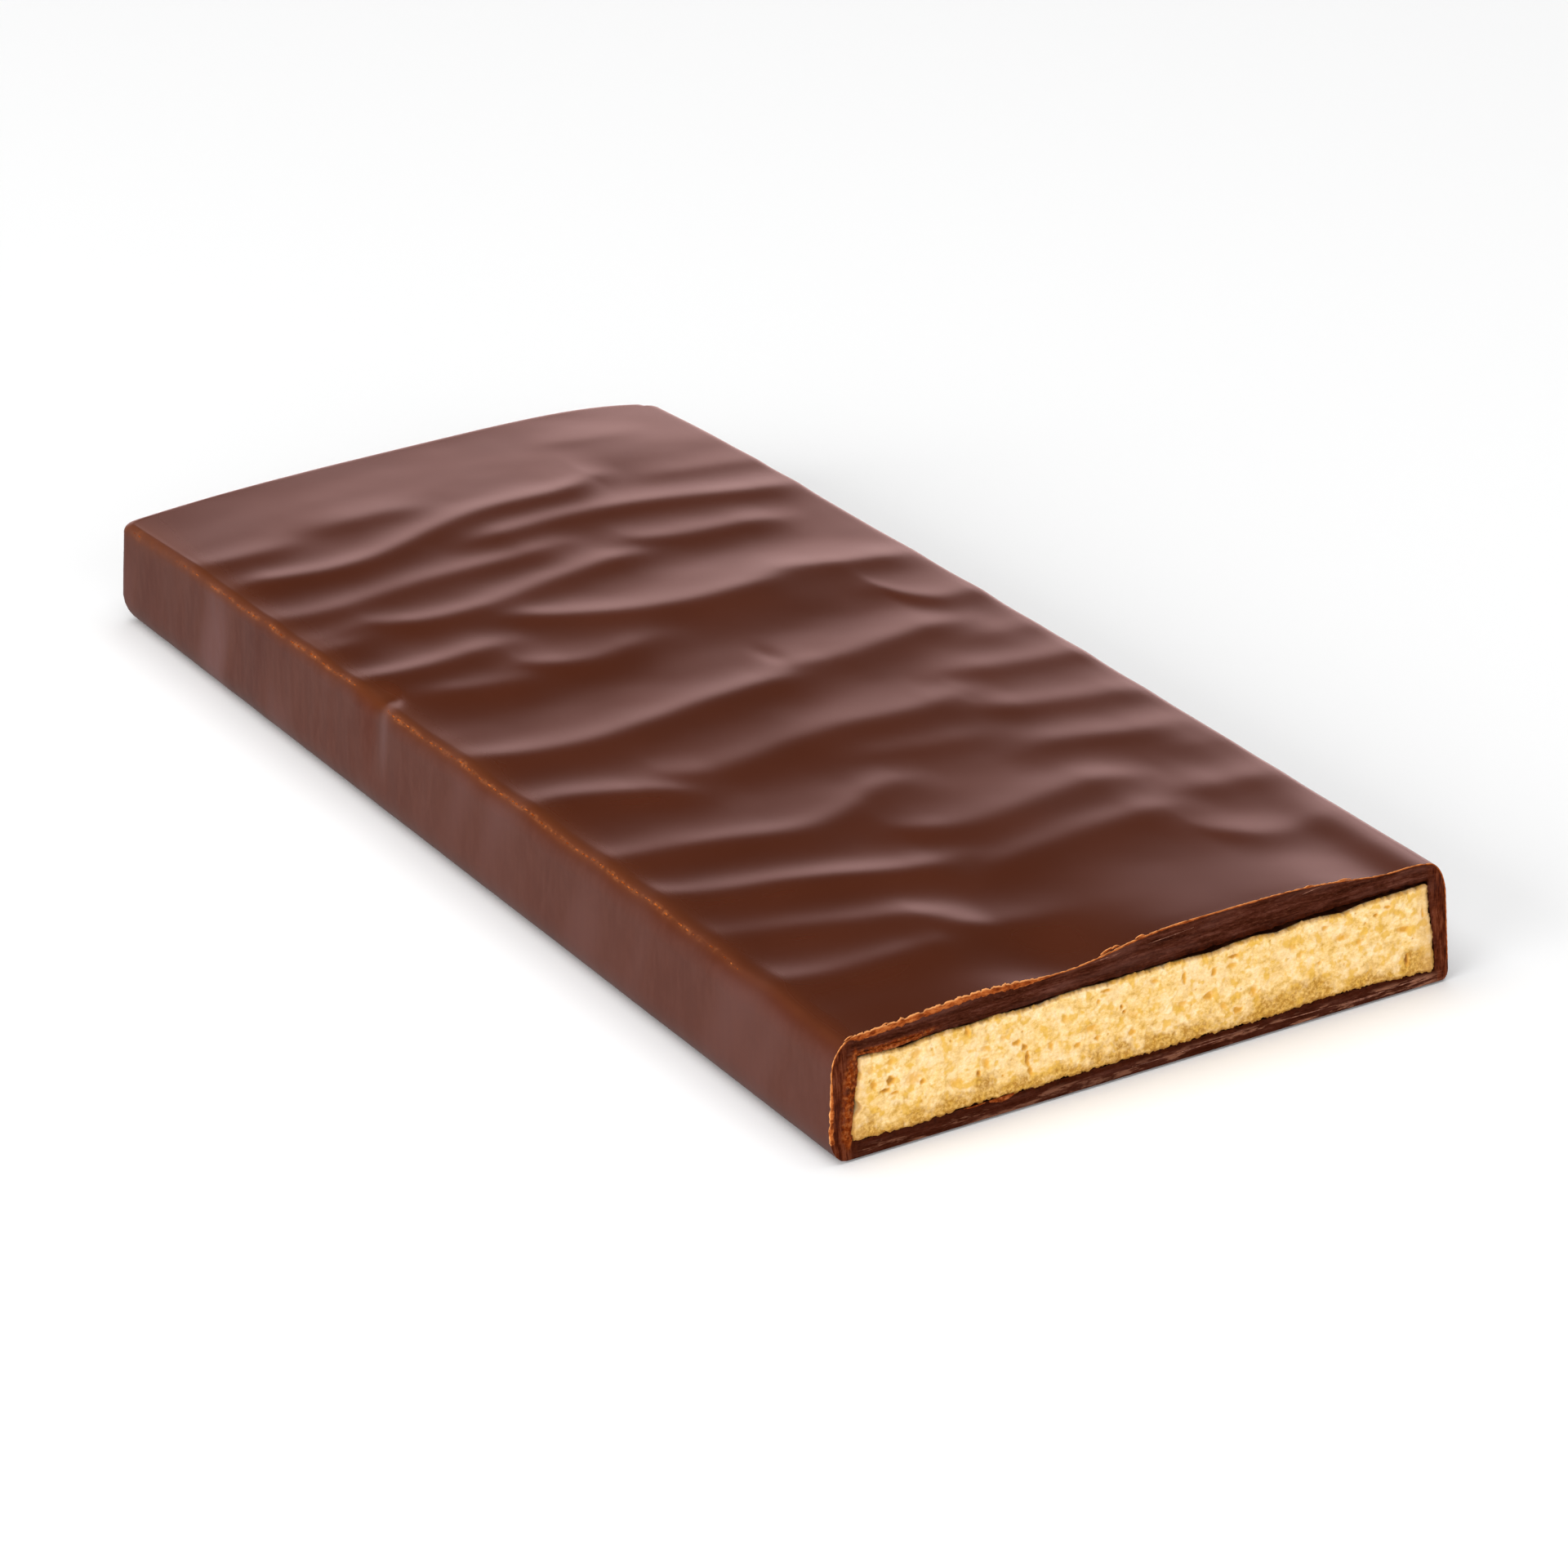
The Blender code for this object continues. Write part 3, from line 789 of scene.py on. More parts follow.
def mark_coat(piece):
    """Keeps on each point what its place gives it: scuff, warm rim, side, bloom with painted light and
    shade at the dent's fold, painted shade in the cut's hollows, smear.
    """
    layer = {name: read_layer(piece, name) for name in LAYERS}
    x, y, z = point_places(piece) / MM
    line, _ = scuff_line(1.0)
    off_x = x - np.interp(y, line[:, 1], line[:, 0])
    off = np.hypot(off_x, z - np.interp(y, line[:, 1], line[:, 2]))
    outside = (layer["depth"] <= 0.0) & (x < 0.0)
    corner = rise(y, *FAR_CORNER_SPAN)
    near = bell(off, blend(SCUFF_WIDTHS, corner)) * outside
    width = np.where(off_x > 0.0, blend(RIM_WIDTHS, corner), RIM_OUTER_WIDTH)
    rim = bell(off, width) * (0.75 + 0.25 * noise_at(y, z, 0 * y, 4.0, 107.0))
    rim = rim * outside * (0.22 + 0.78 * rise(y, -66.0, -21.0))
    rings = SHOULDER_RINGS + WALL_RINGS + FOOT_RINGS + 1
    start = math.degrees(SHOULDER_START)
    angle = start + (90.0 - start) * layer["round"] * rings / SHOULDER_RINGS
    side = rise(angle, 20.0, 80.0)
    bands = wall_bands(y, z) * side * outside
    recess_shade, smear = cut_marks(layer, x, z)
    keep_layer(piece, "scuff", near * scuff_strength(y))
    keep_layer(piece, "rim", rim)
    keep_layer(piece, "side", side)
    keep_layer(piece, "bloom_and_fold_light", np.maximum(bands, 0.0))
    keep_layer(piece, "dim_and_fold_shade", np.maximum(-bands, 0.0))
    keep_layer(piece, "recess_shade", recess_shade)
    keep_layer(piece, "smear", smear)


# The filling


PORES = (
    Pore(-24.9, 6.5, 0.18, 0.4, 0.2), Pore(-24, 6.8, 0.35, 0.25, 0.3),
    Pore(-23.9, 5.5, 0.25, 0.3, 0.5), Pore(-22.9, 4.8, 0.35, 0.15, 0.8),
    Pore(-22.4, 7, 0.3, 0.2, 0.35), Pore(-22.4, 5.5, 0.3, 0.35, 0.8),
    Pore(-22.1, 4.4, 0.3, 0.1, 0.5), Pore(-20.5, 5.1, 0.6, 0.5, 0.32),
    Pore(-20.1, 7.1, 0.5, 0.3, 0.28), Pore(-19.7, 4.6, 0.2, 0.2, 0.6),
    Pore(-17, 3.7, 0.7, 0.35, 0.22), Pore(-15.7, 7.6, 0.18, 0.3, 0.6),
    Pore(-14.9, 3.9, 0.15, 0.2, 0.8), Pore(-14.2, 5.8, 0.4, 0.2, 0.3),
    Pore(-14.2, 4.5, 0.32, 0.45, 0.38), Pore(-12.6, 6.2, 0.3, 0.2, 0.28),
    Pore(-11.5, 5.5, 0.35, 0.2, 0.6), Pore(-10.8, 4.9, 0.2, 0.3, 0.7),
    Pore(-10.6, 3.9, 0.15, 0.55, 0.75), Pore(-10.4, 2.8, 0.18, 0.35, 0.6),
    Pore(-8.5, 4.4, 0.25, 0.35, 0.4), Pore(-7.2, 6.3, 0.2, 0.3, 0.28),
    Pore(-6.2, 3.8, 0.25, 0.2, 0.45), Pore(-5, 4.9, 0.5, 0.3, 0.38),
    Pore(-4.4, 3.9, 0.2, 0.2, 0.5), Pore(-4.2, 6.9, 0.14, 0.25, 0.4),
    Pore(-3.5, 7.6, 0.4, 0.12, 0.55), Pore(-2.2, 5.9, 0.13, 0.15, 0.8),
    Pore(-2, 5.4, 0.12, 0.12, 0.8), Pore(-1.4, 3.5, 0.3, 0.35, 0.42),
    Pore(-1.2, 5, 0.5, 0.4, 0.18), Pore(0.8, 7.2, 0.3, 0.2, 0.38),
    Pore(3.2, 4.6, 0.4, 0.25, 0.35), Pore(3.4, 6.8, 0.18, 0.45, 0.5),
    Pore(5.5, 4.6, 0.4, 0.3, 0.55), Pore(6.1, 6.5, 0.2, 0.3, 0.5),
    Pore(6.8, 3.4, 0.3, 0.3, 0.35), Pore(7.7, 6.6, 0.35, 0.2, 0.38),
    Pore(7.9, 7.3, 0.4, 0.12, 0.7), Pore(8.1, 2.7, 0.4, 0.25, 0.55),
    Pore(9.6, 3.9, 0.3, 0.4, 0.42), Pore(13.2, 6.6, 0.3, 0.2, 0.28),
    Pore(13.9, 5.7, 0.2, 0.35, 0.3), Pore(15.6, 4.6, 0.2, 0.15, 0.4),
    Pore(16.2, 7.4, 0.3, 0.2, 0.38), Pore(17.7, 6.2, 0.5, 0.25, 0.42),
    Pore(19.3, 5.4, 0.3, 0.2, 0.38), Pore(20.9, 7.2, 0.2, 0.12, 0.6),
    Pore(22, 7.6, 0.3, 0.12, 0.5), Pore(23.4, 5.3, 0.5, 0.22, 0.55),
    Pore(23.7, 2.7, 0.14, 0.5, 1), Pore(25.2, 6.2, 0.1, 0.45, 0.4),
)


def pore_depth(x, z):
    """How deep each place lies in the larger pores, from 0 to 1, with ragged edges."""
    ragged = 0.45 * face_noise(x, z, 0.28, 31.0)
    deep = 0 * x
    for pore in PORES:
        away = ((x - pore.x) / pore.half_x) ** 2 + ((z - pore.z) / pore.half_z) ** 2
        inside = 1.0 - smooth_step(np.sqrt(away) * 0.75 - 0.25 + ragged)
        deep = np.maximum(deep, pore.depth * inside)
    return deep


def crumb_relief(x, z):
    """Depth of the crumb's cut face behind its plane, and how deep in a pore each point lies."""
    grain = np.empty(len(x))
    spot = np.empty(len(x))
    for i, (px, pz) in enumerate(zip(x.tolist(), z.tolist())):
        wobble = 0.3 * noise.noise((px * 1.7, 3.0, pz * 1.7))
        coarse = noise.voronoi((px / 0.62 + wobble, 8.0, pz / 0.55 - wobble))[0]
        fine = noise.voronoi((px / 0.26, 21.0, pz / 0.24))[0]
        grain[i] = 0.6 * coarse[0] + 0.25 * fine[0]
        spot[i] = noise.voronoi((px / 1.15, 34.0, pz))[0][0]
    broad = face_noise(x, z, 2.2, 51.0)
    rough = face_noise(x, z, 0.3, 53.0)
    pit = np.maximum(0.55 * rise(spot, 0.12, 0.03), pore_depth(x, z))
    depth = GRAIN_DEPTH * grain + CRUMB_WAVE_DEPTH * broad + ROUGH_DEPTH * rough + PORE_DEPTH * pit
    return depth, pit


def crumb_point(values):
    """Place of a point of the filling's cut face, how deep in a pore it lies, and how near the rim."""
    across, up = values["across"], values["along"]
    x, z = section_point(across, up, FILLING_TOP, 0.0)
    edge = np.minimum(1.0 - np.abs(across), CRUMB_HEIGHT_SHARE * np.minimum(up, 1.0 - up) * 2)
    ragged = face_noise(x, z, 0.5, 61.0) + 0.6 * face_noise(x, z, 0.18, 67.0)
    z = z + CRUMB_RAGGED * ragged * rise(edge, 0.03, 0.0) * np.where(up > 0.5, 1.0, -1.0)
    notched = CRUMB_RAGGED_SIDES * face_noise(x, z, 0.9, 63.0) + 0.12 * ragged
    notched = notched - NOTCH_DEPTH * bell(z - NOTCH_Z, NOTCH_REACH) * (x < 0.0)
    x = x + notched * rise(np.abs(across), 0.955, 1.0) * np.sign(across)
    depth, pit = crumb_relief(x, z)
    y = CUT_PLANE + CRUMB_SET_BACK + depth + RIM_DEPTH * rise(edge, 0.012, 0.0)
    return x, y, z, pit, 1.0 - smooth_step(edge / (0.016 + 0.008 * ragged))


def make_filling(material):
    """The filling: its cut face is a fine grid, and its sides are drawn back from the grid's edge."""
    piece = add_grid("crumb_filling", CRUMB_COLUMNS, CRUMB_ROWS)
    marks = {}

    def place(values):
        x, y, z, marks["pit"], marks["edge"] = crumb_point(values)
        return x, y, z

    edit(piece)
    place_selected(piece, place)
    select_open_edges(piece)
    for back in FILLING_STEPS:
        extrude_selected()
        place_selected(piece, lambda at, b=back: filling_side(at, b), depth=1.0)
    close_selected()
    leave_edit()
    for name, front in marks.items():
        keep_layer(piece, name, np.pad(front, (0, len(piece.data.vertices) - len(front))))
    finish_piece(piece, [material], CRUMB_SMOOTH_ANGLE, replaced="filling")


def filling_side(values, back):
    """Place on the filling's sides, some way behind the cut."""
    x, z = section_point(values["across"], values["along"], FILLING_TOP, -FILLING_SHRINK)
    x = x * (FAR_NARROWING if back > LENGTH / 2 else 1.0)
    return x, CUT_PLANE + back + 0 * x, z


# Materials


class Nodes:
    """The nodes of one material or of the world, and the colour that they mix."""

    def __init__(self, tree):
        self.tree = tree
        self.colour = None

    def add(self, kind, **settings):
        """Adds a node. Keys that name an input set it, and the others set the node's own setting."""
        node = self.tree.nodes.new(kind)
        for key, value in settings.items():
            if key in node.inputs:
                node.inputs[key].default_value = value
            else:
                setattr(node, key, value)
        return node

    def feed(self, socket, value):
        """Sets a socket to a number or a plain colour, or links it to another socket."""
        if isinstance(value, tuple):
            socket.default_value = (*value, 1.0)
        elif isinstance(value, float):
            socket.default_value = value
        else:
            self.tree.links.new(value, socket)

    def axis(self, name, kind="Object"):
        """How far along one axis a place lies, in metres on Object coordinates."""
        apart = self.add("ShaderNodeSeparateXYZ")
        self.feed(apart.inputs["Vector"], self.add("ShaderNodeTexCoord").outputs[kind])
        return apart.outputs[name]

    def noise(self, size, along_x=1.0, along_z=1.0, detail=2.0, roughness=0.5, shift=0.0):
        """Noise on Object coordinates with bumps of about this size in millimetres.

        An along value below 1 draws them out along that axis.
        """
        scale = [share / (size * MM) for share in (along_x, 1.0, along_z)]
        mapping = self.add("ShaderNodeMapping", Location=(shift, shift, shift), Scale=scale)
        self.feed(mapping.inputs["Vector"], self.add("ShaderNodeTexCoord").outputs["Object"])
        texture = self.add("ShaderNodeTexNoise", Scale=1.0, Detail=detail, Roughness=roughness)
        self.feed(texture.inputs["Vector"], mapping.outputs["Vector"])
        return texture.outputs["Fac"]

    def patches(self, low, high, size, **settings):
        """Noise that is 0 below its low value and 1 above its high one."""
        return self.rescale(self.noise(size, **settings), low, high)

    def attribute(self, name):
        return self.add("ShaderNodeAttribute", attribute_name=name).outputs["Fac"]

    def ramp(self, source, stops):
        """A colour for each value, from stops of a value and its colour."""
        node = self.add("ShaderNodeValToRGB")
        elements = node.color_ramp.elements
        while len(elements) < len(stops):
            elements.new(0.5)
        for element, (place, colour) in zip(elements, stops):
            element.position = place
            element.color = (*colour, 1.0)
        self.feed(node.inputs["Fac"], source)
        return node.outputs["Color"]

    def rescale(self, source, low, high, to_low=0.0, to_high=1.0, kind="LINEAR"):
        """Maps a value from one range to another, held at both ends."""
        node = self.add("ShaderNodeMapRange", interpolation_type=kind)
        names = ("Value", "From Min", "From Max", "To Min", "To Max")
        for name, value in zip(names, (source, low, high, to_low, to_high)):
            self.feed(node.inputs[name], value)
        return node.outputs["Result"]

    def over(self, place, span, to_start=0.0, to_end=1.0):
        """A value that changes over a span of places in millimetres, held at both ends."""
        start, end = span
        return self.rescale(place, start * MM, end * MM, to_start, to_end)

    def math(self, operation, *values):
        """One operation on values, each a socket or a number."""
        node = self.add("ShaderNodeMath", operation=operation)
        for socket, value in zip(node.inputs, values):
            self.feed(socket, value)
        return node.outputs[0]

    def times(self, first, second):
        return self.math("MULTIPLY", first, second)

    def mix(self, amount, first, second):
        """Mixes two colours, each a socket or a plain colour, by an amount."""
        node = self.add("ShaderNodeMix", data_type="RGBA")
        # The node has sockets of the same names for each kind of data: 6, 7 and 2 are the colours
        for place, value in ((0, amount), (6, first), (7, second)):
            self.feed(node.inputs[place], value)
        return node.outputs[2]

    def tint(self, new, amount, strength=1.0):
        """Takes the mixed colour towards a new one by an amount, at most as far as a strength."""
        if strength < 1.0:
            amount = self.times(amount, strength)
        self.colour = self.mix(amount, self.colour, new)


class Paint(Nodes):
    """A material that is being mixed, with its Principled shader."""

    def __init__(self, name, colour, roughness, specular):
        self.material = bpy.data.materials.new(name)
        self.material.use_nodes = True
        super().__init__(self.material.node_tree)
        self.shader = self.tree.nodes["Principled BSDF"].inputs
        self.feed(self.shader["Base Color"], colour)
        self.feed(self.shader["Roughness"], roughness)
        self.feed(self.shader["Specular IOR Level"], specular)

    def bump(self, height, distance, strength):
        """Fine bump from a height, its distance in millimetres."""
        node = self.add("ShaderNodeBump", Strength=strength, Distance=distance * MM)
        self.feed(node.inputs["Height"], height)
        self.feed(self.shader["Normal"], node.outputs["Normal"])

    def done(self):
        """The material, with its mixed colour on its shader."""
        self.feed(self.shader["Base Color"], self.colour)
        return self.material


DARK_CHOCOLATE = (0.063, 0.0138, 0.005)
WARM_CHOCOLATE = (0.075, 0.017, 0.0065)
SIDE_CHOCOLATE = (0.088, 0.019, 0.008)
# Colours of the wall's bloom bands, which also carry painted light and shade at the dent's fold
DIM_SIDE_AND_FOLD_SHADE = (0.074, 0.013, 0.0045)
BLOOM_AND_FOLD_LIGHT = (0.125, 0.045, 0.037)
SIDE_GRAIN = (0.115, 0.033, 0.019)
WARM_RIM = (0.112, 0.0285, 0.008)
RUBBED = (0.165, 0.041, 0.011)
SCUFFED = (0.3, 0.092, 0.028)

TOP_ROUGHNESS = (0.215, 0.27)


def coat_material():
    """Set dark chocolate: glossy on top, satin at the sides, with a scuffed line on its shoulder."""
    paint = Paint("set_chocolate", DARK_CHOCOLATE, 0.25, 0.5)
    side = paint.attribute("side")
    rim = paint.attribute("rim")
    scuff = paint.attribute("scuff")
    clouds = paint.rescale(paint.noise(9.0), 0.1, 0.9, kind="SMOOTHSTEP")
    paint.colour = paint.mix(clouds, DARK_CHOCOLATE, WARM_CHOCOLATE)
    paint.tint(SIDE_CHOCOLATE, side)
    # Bloom bands on the left wall, with painted light and painted shade at the dent's fold
    paint.tint(BLOOM_AND_FOLD_LIGHT, paint.attribute("bloom_and_fold_light"))
    paint.tint(DIM_SIDE_AND_FOLD_SHADE, paint.attribute("dim_and_fold_shade"))
    paint.tint(WARM_RIM, rim, 0.7)
    grain = paint.patches(0.42, 0.6, 0.7, along_z=0.25, detail=3.0, roughness=0.65, shift=2.0)
    paint.tint(SIDE_GRAIN, paint.times(grain, side), 0.32)
    paint.tint(RUBBED, scuff, 0.48)
    broken = paint.patches(0.44, 0.6, 0.45, roughness=0.6)
    paint.tint(SCUFFED, paint.times(paint.rescale(scuff, 0.4, 1.0), broken), 0.66)
    gloss = paint.noise(12.0, detail=0.0)
    gloss = paint.rescale(gloss, 0.1, 0.9, *TOP_ROUGHNESS, kind="SMOOTHSTEP")
    for mark, rougher in ((side, 0.16), (rim, 0.14), (scuff, 0.12)):
        gloss = paint.math("ADD", gloss, paint.times(mark, rougher))
    paint.feed(paint.shader["Roughness"], gloss)
    return paint.done()


CUT_STREAKS = (
    (0.32, (0.014, 0.002, 0.0006)),
    (0.44, (0.042, 0.009, 0.0034)),
    (0.55, (0.066, 0.0165, 0.0085)),
    (0.7, (0.135, 0.048, 0.031)),
)
UPRIGHT_STREAKS = (
    (0.41, (0.034, 0.0044, 0.001)),
    (0.49, (0.084, 0.014, 0.0036)),
    (0.57, (0.16, 0.04, 0.016)),
)
SMEAR_SPOTS = (
    (0.36, (0.11, 0.013, 0.0012)),
    (0.5, (0.22, 0.038, 0.004)),
    (0.64, (0.33, 0.095, 0.025)),
)
DARK_LINES = (0.018, 0.0026, 0.0008)
LIGHT_LINES = (0.125, 0.044, 0.027)
# Painted highlight on the drag streaks
PAINTED_DRAG_SHEEN = (0.13, 0.052, 0.038)
CUT_FOOT = (0.03, 0.005, 0.0016)
SEAMS = (0.27, 0.115, 0.068)
# Painted shade for the hollows of the cut face and the coat's inside
DEEPEST_PAINTED_SHADE = (0.012, 0.002, 0.001)
DEEP_PAINTED_SHADE = (0.038, 0.0065, 0.002)

# Where on the cut, in millimetres, the foot darkens, light seams come in below and to the right,
# and the upright parts at both sides begin
CUT_FOOT_HEIGHTS = (1.5, 1.0)
SEAM_HEIGHTS = (1.1, 0.7)
SEAM_PLACES = (-4.0, 16.0)
UPRIGHT_PLACES = (25.5, 26.6)

CUT_ROUGHNESS = (0.5, 0.65)


def cut_material():
    """The coat where the knife went through it: duller, with fine drag streaks, painted highlights
    along them, warm smears, and painted shade in its hollows.
    """
    paint = Paint("cut_chocolate", (0.06, 0.012, 0.005), 0.5, 0.01)
    x, z = paint.axis("X"), paint.axis("Z")
    streaks = paint.noise(0.5, along_x=0.1, detail=5.0, roughness=0.75)
    paint.colour = paint.ramp(streaks, CUT_STREAKS)
    fine = paint.noise(0.16, along_x=0.35, detail=3.0, roughness=0.7, shift=1.0)
    paint.tint(DARK_LINES, paint.rescale(fine, 0.5, 0.32, 0.0, 0.6))
    paint.tint(LIGHT_LINES, paint.rescale(fine, 0.54, 0.72, 0.0, 0.45))
    # Painted highlights along the drag streaks, standing in for the cut face's gloss
    painted_sheen = paint.patches(0.5, 0.68, 1.4, along_x=0.22, detail=3.0, shift=8.0)
    paint.tint(PAINTED_DRAG_SHEEN, painted_sheen, 0.4)
    paint.tint(CUT_FOOT, paint.over(z, CUT_FOOT_HEIGHTS, 0.0, 0.45))
    seams = paint.patches(0.52, 0.62, 0.45, along_x=0.16, detail=4.0, roughness=0.7, shift=5.0)
    seams = paint.times(seams, paint.over(z, SEAM_HEIGHTS))
    seams = paint.times(seams, paint.over(x, SEAM_PLACES, 0.55, 1.0))
    paint.tint(SEAMS, seams, 0.85)
    down = paint.noise(0.34, along_z=0.12, detail=4.0, roughness=0.7, shift=15.0)
    upright = paint.over(paint.math("ABSOLUTE", x), UPRIGHT_PLACES)
    paint.tint(paint.ramp(down, UPRIGHT_STREAKS), upright, 0.75)
    patches = paint.patches(0.36, 0.54, 0.6, detail=4.0, roughness=0.7, shift=4.0)
    spots = paint.noise(0.35, detail=3.0, roughness=0.65, shift=12.0)
    smear = paint.times(paint.attribute("smear"), patches)
    paint.tint(paint.ramp(spots, SMEAR_SPOTS), smear)
    # Painted shade where the cut face falls back towards the filling, and near-black inside the coat
    paint.tint(paint.mix(patches, DEEPEST_PAINTED_SHADE, DEEP_PAINTED_SHADE), paint.attribute("recess_shade"))
    paint.feed(paint.shader["Roughness"], paint.rescale(streaks, 0.3, 0.7, *CUT_ROUGHNESS))
    paint.bump(streaks, 0.04, 0.7)
    return paint.done()


CRUMB_GRAIN = (
    (0.32, (0.57, 0.315, 0.062)),
    (0.43, (0.735, 0.465, 0.145)),
    (0.52, (0.815, 0.56, 0.24)),
    (0.66, (0.87, 0.67, 0.4)),
)
PALE_CRUMB = (0.85, 0.64, 0.39)
GOLDEN_CRUMB = (0.69, 0.385, 0.046)
OCHRE_AND_SHADE = (0.64, 0.37, 0.068)
DARK_OCHRE_AND_SHADE = (0.395, 0.185, 0.024)
CRUMB_SIDE_SHADE = (0.52, 0.285, 0.095)
SHALLOW_PORE = (0.68, 0.35, 0.055)
DEEP_PORE_SHADE = (0.28, 0.115, 0.025)
CRUMB_FRINGE_SHADE = (0.33, 0.14, 0.025)
CRUMB_BEHIND_SHADE = (0.045, 0.011, 0.004)

# Where the crumb turns ochre with painted shade at its foot, how far that height wanders, and where
# painted shade darkens its sides
OCHRE_SHADE_HEIGHTS = (2.1, 3.3)
OCHRE_SHADE_WANDER = (-1.3, 1.1)
CRUMB_SIDE_SHADE_PLACES = (24.2, 25.8)


def crumb_material():
    """Pale fine-pored crumb: cream with golden patches and an ochre foot, with painted shade in its
    pores, foot, edges and hidden sides.
    """
    paint = Paint("crumb", (0.8, 0.52, 0.22), 0.85, 0.12)
    grain = paint.noise(0.8, along_x=0.7, detail=5.0, roughness=0.78)
    paint.colour = paint.ramp(grain, CRUMB_GRAIN)
    paint.tint(PALE_CRUMB, paint.patches(0.45, 0.7, 2.6, shift=6.0), 0.45)
    golden = paint.patches(0.53, 0.62, 0.95, detail=2.5, roughness=0.55, shift=3.0)
    paint.tint(GOLDEN_CRUMB, golden, 0.74)
    # The foot band: golden ochre crumb, with painted shade where the foot curves under
    wander = paint.noise(2.0, detail=3.0, roughness=0.6, shift=9.0)
    lowest, highest = OCHRE_SHADE_WANDER
    wander = paint.rescale(wander, 0.34, 0.66, lowest * MM, highest * MM)
    height = paint.math("SUBTRACT", paint.axis("Z"), wander)
    foot = paint.over(height, OCHRE_SHADE_HEIGHTS, 1.0, 0.0)
    speckle = paint.patches(0.36, 0.58, 0.35, detail=3.0, roughness=0.7, shift=2.0)
    foot = paint.times(foot, paint.rescale(speckle, 0.0, 1.0, 0.72, 0.96))
    paint.tint(paint.mix(speckle, OCHRE_AND_SHADE, DARK_OCHRE_AND_SHADE), foot)
    # Painted shade towards the crumb's sides, next to the coat
    paint.tint(CRUMB_SIDE_SHADE, paint.over(paint.math("ABSOLUTE", paint.axis("X")), CRUMB_SIDE_SHADE_PLACES), 0.5)
    pit = paint.attribute("pit")
    paint.tint(SHALLOW_PORE, paint.rescale(pit, 0.05, 0.4))
    # Painted shade in the deeper pores
    paint.tint(DEEP_PORE_SHADE, paint.rescale(pit, 0.4, 1.0))
    # Painted shade in a narrow fringe along the crumb's rim
    paint.tint(CRUMB_FRINGE_SHADE, paint.rescale(paint.attribute("edge"), 0.35, 1.0), 0.75)
    # Painted shade: near-black on the filling's sides behind the cut
    paint.tint(CRUMB_BEHIND_SHADE, paint.attribute("depth"))
    paint.bump(paint.noise(0.18, detail=3.0, roughness=0.7), 0.04, 0.7)
    return paint.done()


LIP_STREAKS = (
    (0.36, (0.12, 0.018, 0.0025)),
    (0.48, (0.27, 0.054, 0.008)),
    (0.62, (0.44, 0.125, 0.028)),
)
# Painted highlight along the lip's outer edge
LIP_EDGE_HIGHLIGHT = (0.78, 0.35, 0.125)


def lip_material():
    """The coat's broken lip, where cocoa butter shows warm, with a painted highlight along its outer
    edge.
    """
    paint = Paint("broken_lip", SCUFFED, 0.6, 0.04)
    streaks = paint.noise(0.3, along_x=0.4, detail=4.0, roughness=0.7)
    paint.colour = paint.ramp(streaks, LIP_STREAKS)
    outer = paint.rescale(paint.attribute("outer"), 0.78, 1.0)
    # Painted highlight: lighter towards the lip's outer edge
    paint.tint(LIP_EDGE_HIGHLIGHT, paint.times(outer, paint.rescale(streaks, 0.32, 0.52, 0.45, 1.0)))
    paint.bump(streaks, 0.02, 0.6)
    return paint.done()


DRAGGED_PATCHES = (
    (0.34, (0.085, 0.013, 0.002)),
    (0.5, (0.2, 0.037, 0.005)),
    (0.66, (0.32, 0.095, 0.028)),
)


def smear_material():
    """Warm red-brown chocolate dragged by the knife, tan where it is thinnest."""
    paint = Paint("dragged_smear", (0.16, 0.03, 0.008), 0.6, 0.04)
    patches = paint.noise(0.35, detail=3.0, roughness=0.65, shift=7.0)
    paint.colour = paint.ramp(patches, DRAGGED_PATCHES)
    paint.bump(patches, 0.03, 0.6)
    return paint.done()


RIDGE_PATCHES = (
    (0.34, (0.09, 0.028, 0.017)),
    (0.52, (0.2, 0.08, 0.05)),
    (0.68, (0.33, 0.15, 0.09)),
)


def ridge_material():
    """Thin pinkish ridges and tan seams that the knife raised on the coat's cut face."""
    paint = Paint("raised_ridge", (0.2, 0.09, 0.06), 0.55, 0.2)
    patches = paint.noise(0.5, detail=3.0, roughness=0.65, shift=5.0)
    paint.colour = paint.ramp(patches, RIDGE_PATCHES)
    return paint.done()


# The lip, the drag lines and the scuffed ridge


# How far apart the points of a bead's path are
LIP_SPACING = 0.11
DRAG_SPACING = 0.08
SCUFF_SPACING = 0.11

# The lip: the height at which it starts, what share of its half width it lies in from the outline,
# its least half width, and what its band at the left, its low left end and its crest add to that
LIP_FOOT = 1.6
LIP_INSET = 0.85
LIP_HALF = 0.055
LIP_BAND = 0.235
LIP_LOW_LEFT = 0.14
LIP_CREST = 0.03

# How ragged the lip and the drag lines are, as shares of their half widths
LIP_RAGGEDNESS = 0.55
DRAG_RAGGEDNESS = 0.5

# Half widths of the scuffed line where it is weakest and strongest
SCUFF_HALVES = (0.015, 0.08)

# How thin and how deep a bead on the cut may be, and how far its middle lies behind the cut's plane
THINNEST_BEAD = 0.012
DEEPEST_BEAD = 0.11
BEAD_SET_BACK = 0.12

# How close two points of a rolled grid are, in metres, where they become one
SAME_POINT = 1e-7


def outline_path():
    """Points along the cut's outer outline, from the left foot over the top to the right foot."""
    across = np.linspace(-1.0, 1.0, TOP_COLUMNS + 1)
    x, _, z = top_point(across, 0 * across)
    rings = wall_rings()
    walls = []
    for side in (-1.0, 1.0):
        points = [shell_point(np.array([side]), np.zeros(1), ring) for ring in rings]
        walls.append(np.array([(point[0][0], point[2][0]) for point in points]))
    return np.concatenate([walls[0][::-1], np.column_stack([x, z]), walls[1]])


